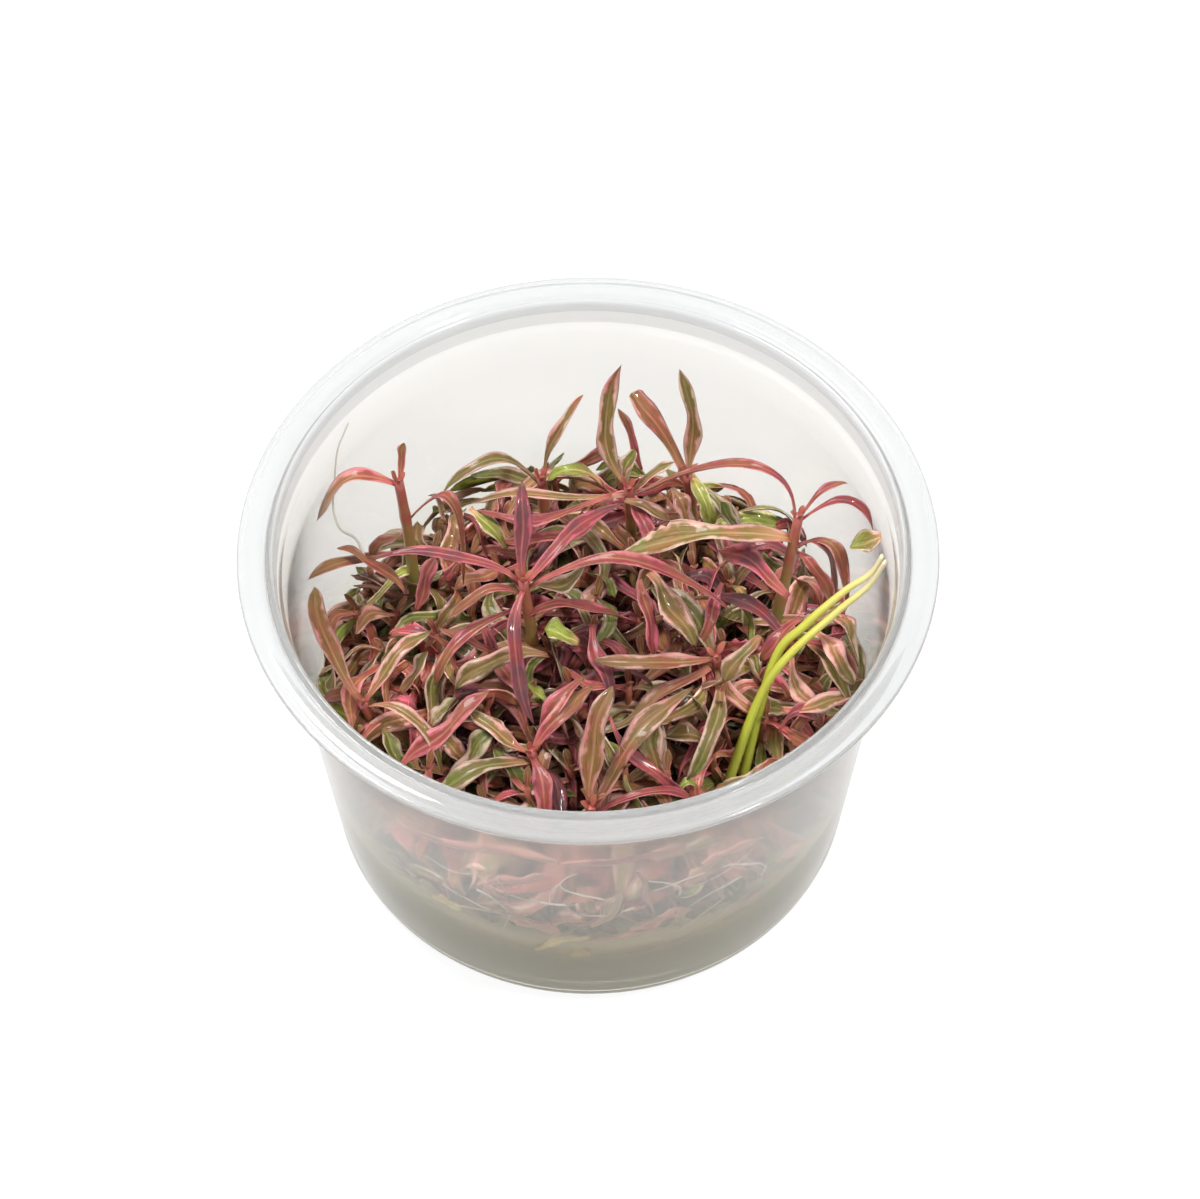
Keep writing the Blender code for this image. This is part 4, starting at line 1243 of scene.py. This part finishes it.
def makePressedLeaves(rng, leafSkin):
    pressed = newHeap()
    for *places, width, look in wallLeaves.values():
        look = tuple((hue, pink, bright + 0.25) for hue, pink, bright in tones[look])
        path = againstWall(places, 0.3)
        addLeaf(pressed, *path, width, look, rng, 88.0, 0.5, 0.7, 0.22, 0.03, 6.0, True, 50.0)
    for _ in range(gelContents["pressedLeaves"]):
        turn, height = rng.uniform(-0.6, 3.7), rng.uniform(8.0, 27.0)
        sweep, climb = rng.choice((-1, 1)) * rng.uniform(0.2, 0.42), rng.uniform(-5.0, 4.0)
        path = []
        for share in (0.0, 0.5, 1.0):
            z = height + climb * share + 1.5 * math.sin(math.pi * share)
            path.append(onWall(turn + sweep * share, z, 0.35))
        look = shifted(tones[rng.choice(gelContents["pressedLooks"])], rng, 0.2)
        width = rng.uniform(2.0, 3.6)
        addLeaf(pressed, *path, width, look, rng, 85.0, 0.5, 0.6, 0.05, 0.0, 5.0, False, 50.0)
    path = againstWall(gelContents["scrap"], 0.5)
    look = gelContents["scrapLook"]
    addLeaf(pressed, *path, 1.5, look, rng, 88.0, 0.5, 1.0, 0.0, 0.0, 0.0, False, 50.0)
    newPiece("pressedLeaves", heapMesh("pressedLeaves", pressed), leafSkin, ["thicket"])


def makeDrops(rng):
    bm = bmesh.new()
    for i in range(gelContents["bubbles"]):
        turn, height = rng.uniform(-math.pi, math.pi), rng.triangular(8.0, 44.0, 30.0)
        if i < gelContents["dropsLeft"]:
            turn, height = math.radians(rng.uniform(178.0, 183.0)), rng.uniform(43.0, 55.0)
        spot = Matrix.Translation(onWall(turn, height, rng.uniform(0.1, 0.4)) * mm)
        size = rng.uniform(*gelContents["bubbleSize"])
        bmesh.ops.create_icosphere(bm, subdivisions=2, radius=size * mm, matrix=spot)
    newPiece("wallDrops", bentMesh("wallDrops", bm), makeBubbleSkin())


def makeGelContents(leafSkin):
    rng, rootSkin = random.Random(gelContents["seed"]), makeRootSkin()
    makeRoots(rng, rootSkin)
    makePressedLeaves(rng, leafSkin)
    makeDrops(rng)
    makeHairRoot(rootSkin)
    report("gel contents")


# floor, light and camera

stage = {
    "floor": (0.15, 0.15, 0.15),
    "floorGlow": 0.90,  # a light table, so that no shadow shows
    "sky": (1.0, 0.995, 0.985),
    "skyStrength": 0.66,
    # place, size and power
    "lamps": [((-0.30, 0.20, 0.78), 0.30, 6.2), ((0.34, -0.20, 0.80), 0.05, 2.8)],
    "lampTarget": (0.0, 0.0, 0.03),
    "lens": 134.85,
    "distance": 0.650,
    "pitch": 54.15,
    "roll": -0.41,
    "lookAt": (0.00165, 0.0, 0.0484),
}


def makeFloor():
    bm = bmesh.new()
    bmesh.ops.create_grid(bm, x_segments=1, y_segments=1, size=3.0)
    mesh = bentMesh("floor", bm)
    floor = addToScene("floor", mesh)
    floor.location.z = -0.0002
    material, tree, shader = newMaterial("paleFloor")
    fill(tree, shader, {
        "Base Color": stage["floor"],
        "Roughness": 0.9,
        "Specular IOR Level": 0.1,
        "Emission Color": (1.0, 1.0, 1.0),
        "Emission Strength": stage["floorGlow"],
    })
    mesh.materials.append(material)


def makeLights():
    world = bpy.data.worlds.new("softRoom")
    world.use_nodes = True
    tree = world.node_tree
    fill(tree, tree.nodes["Background"], {0: stage["sky"], 1: stage["skyStrength"]})
    bpy.context.scene.world = world
    for i, (spot, size, power) in enumerate(stage["lamps"]):
        light = bpy.data.lights.new(f"lamp{i + 1}", "AREA")
        light.shape = "DISK"
        light.size = size
        light.energy = power
        lamp = addToScene(f"lamp{i + 1}", light)
        lamp.location = spot
        lamp.rotation_euler = (Vector(stage["lampTarget"]) - Vector(spot)).to_track_quat("-Z", "Y").to_euler()


def makeCamera():
    camera = bpy.data.cameras.new("camera")
    camera.lens = stage["lens"]
    camera.sensor_width = 36.0
    holder = addToScene("camera", camera)
    pitch, roll = math.radians(stage["pitch"]), math.radians(stage["roll"])
    back = Vector((0.0, -math.cos(pitch), math.sin(pitch))) * stage["distance"]
    turn = Matrix.Rotation(math.radians(90.0) - pitch, 4, "X") @ Matrix.Rotation(roll, 4, "Z")
    holder.matrix_world = Matrix.Translation(Vector(stage["lookAt"]) + back) @ turn
    bpy.context.scene.camera = holder
    bpy.context.scene.view_settings.view_transform = "Standard"


makeFloor()
makeLights()
makeCamera()
report("stage")
leafSkin = makeLeafMaterial("leafSkin")
stemSkin = makeStemMaterial()
makeTub()
makeGel()
makeShoots(leafSkin, stemSkin)
makeStrands(leafSkin)
makeThicket(leafSkin, stemSkin)
makeGelContents(leafSkin)
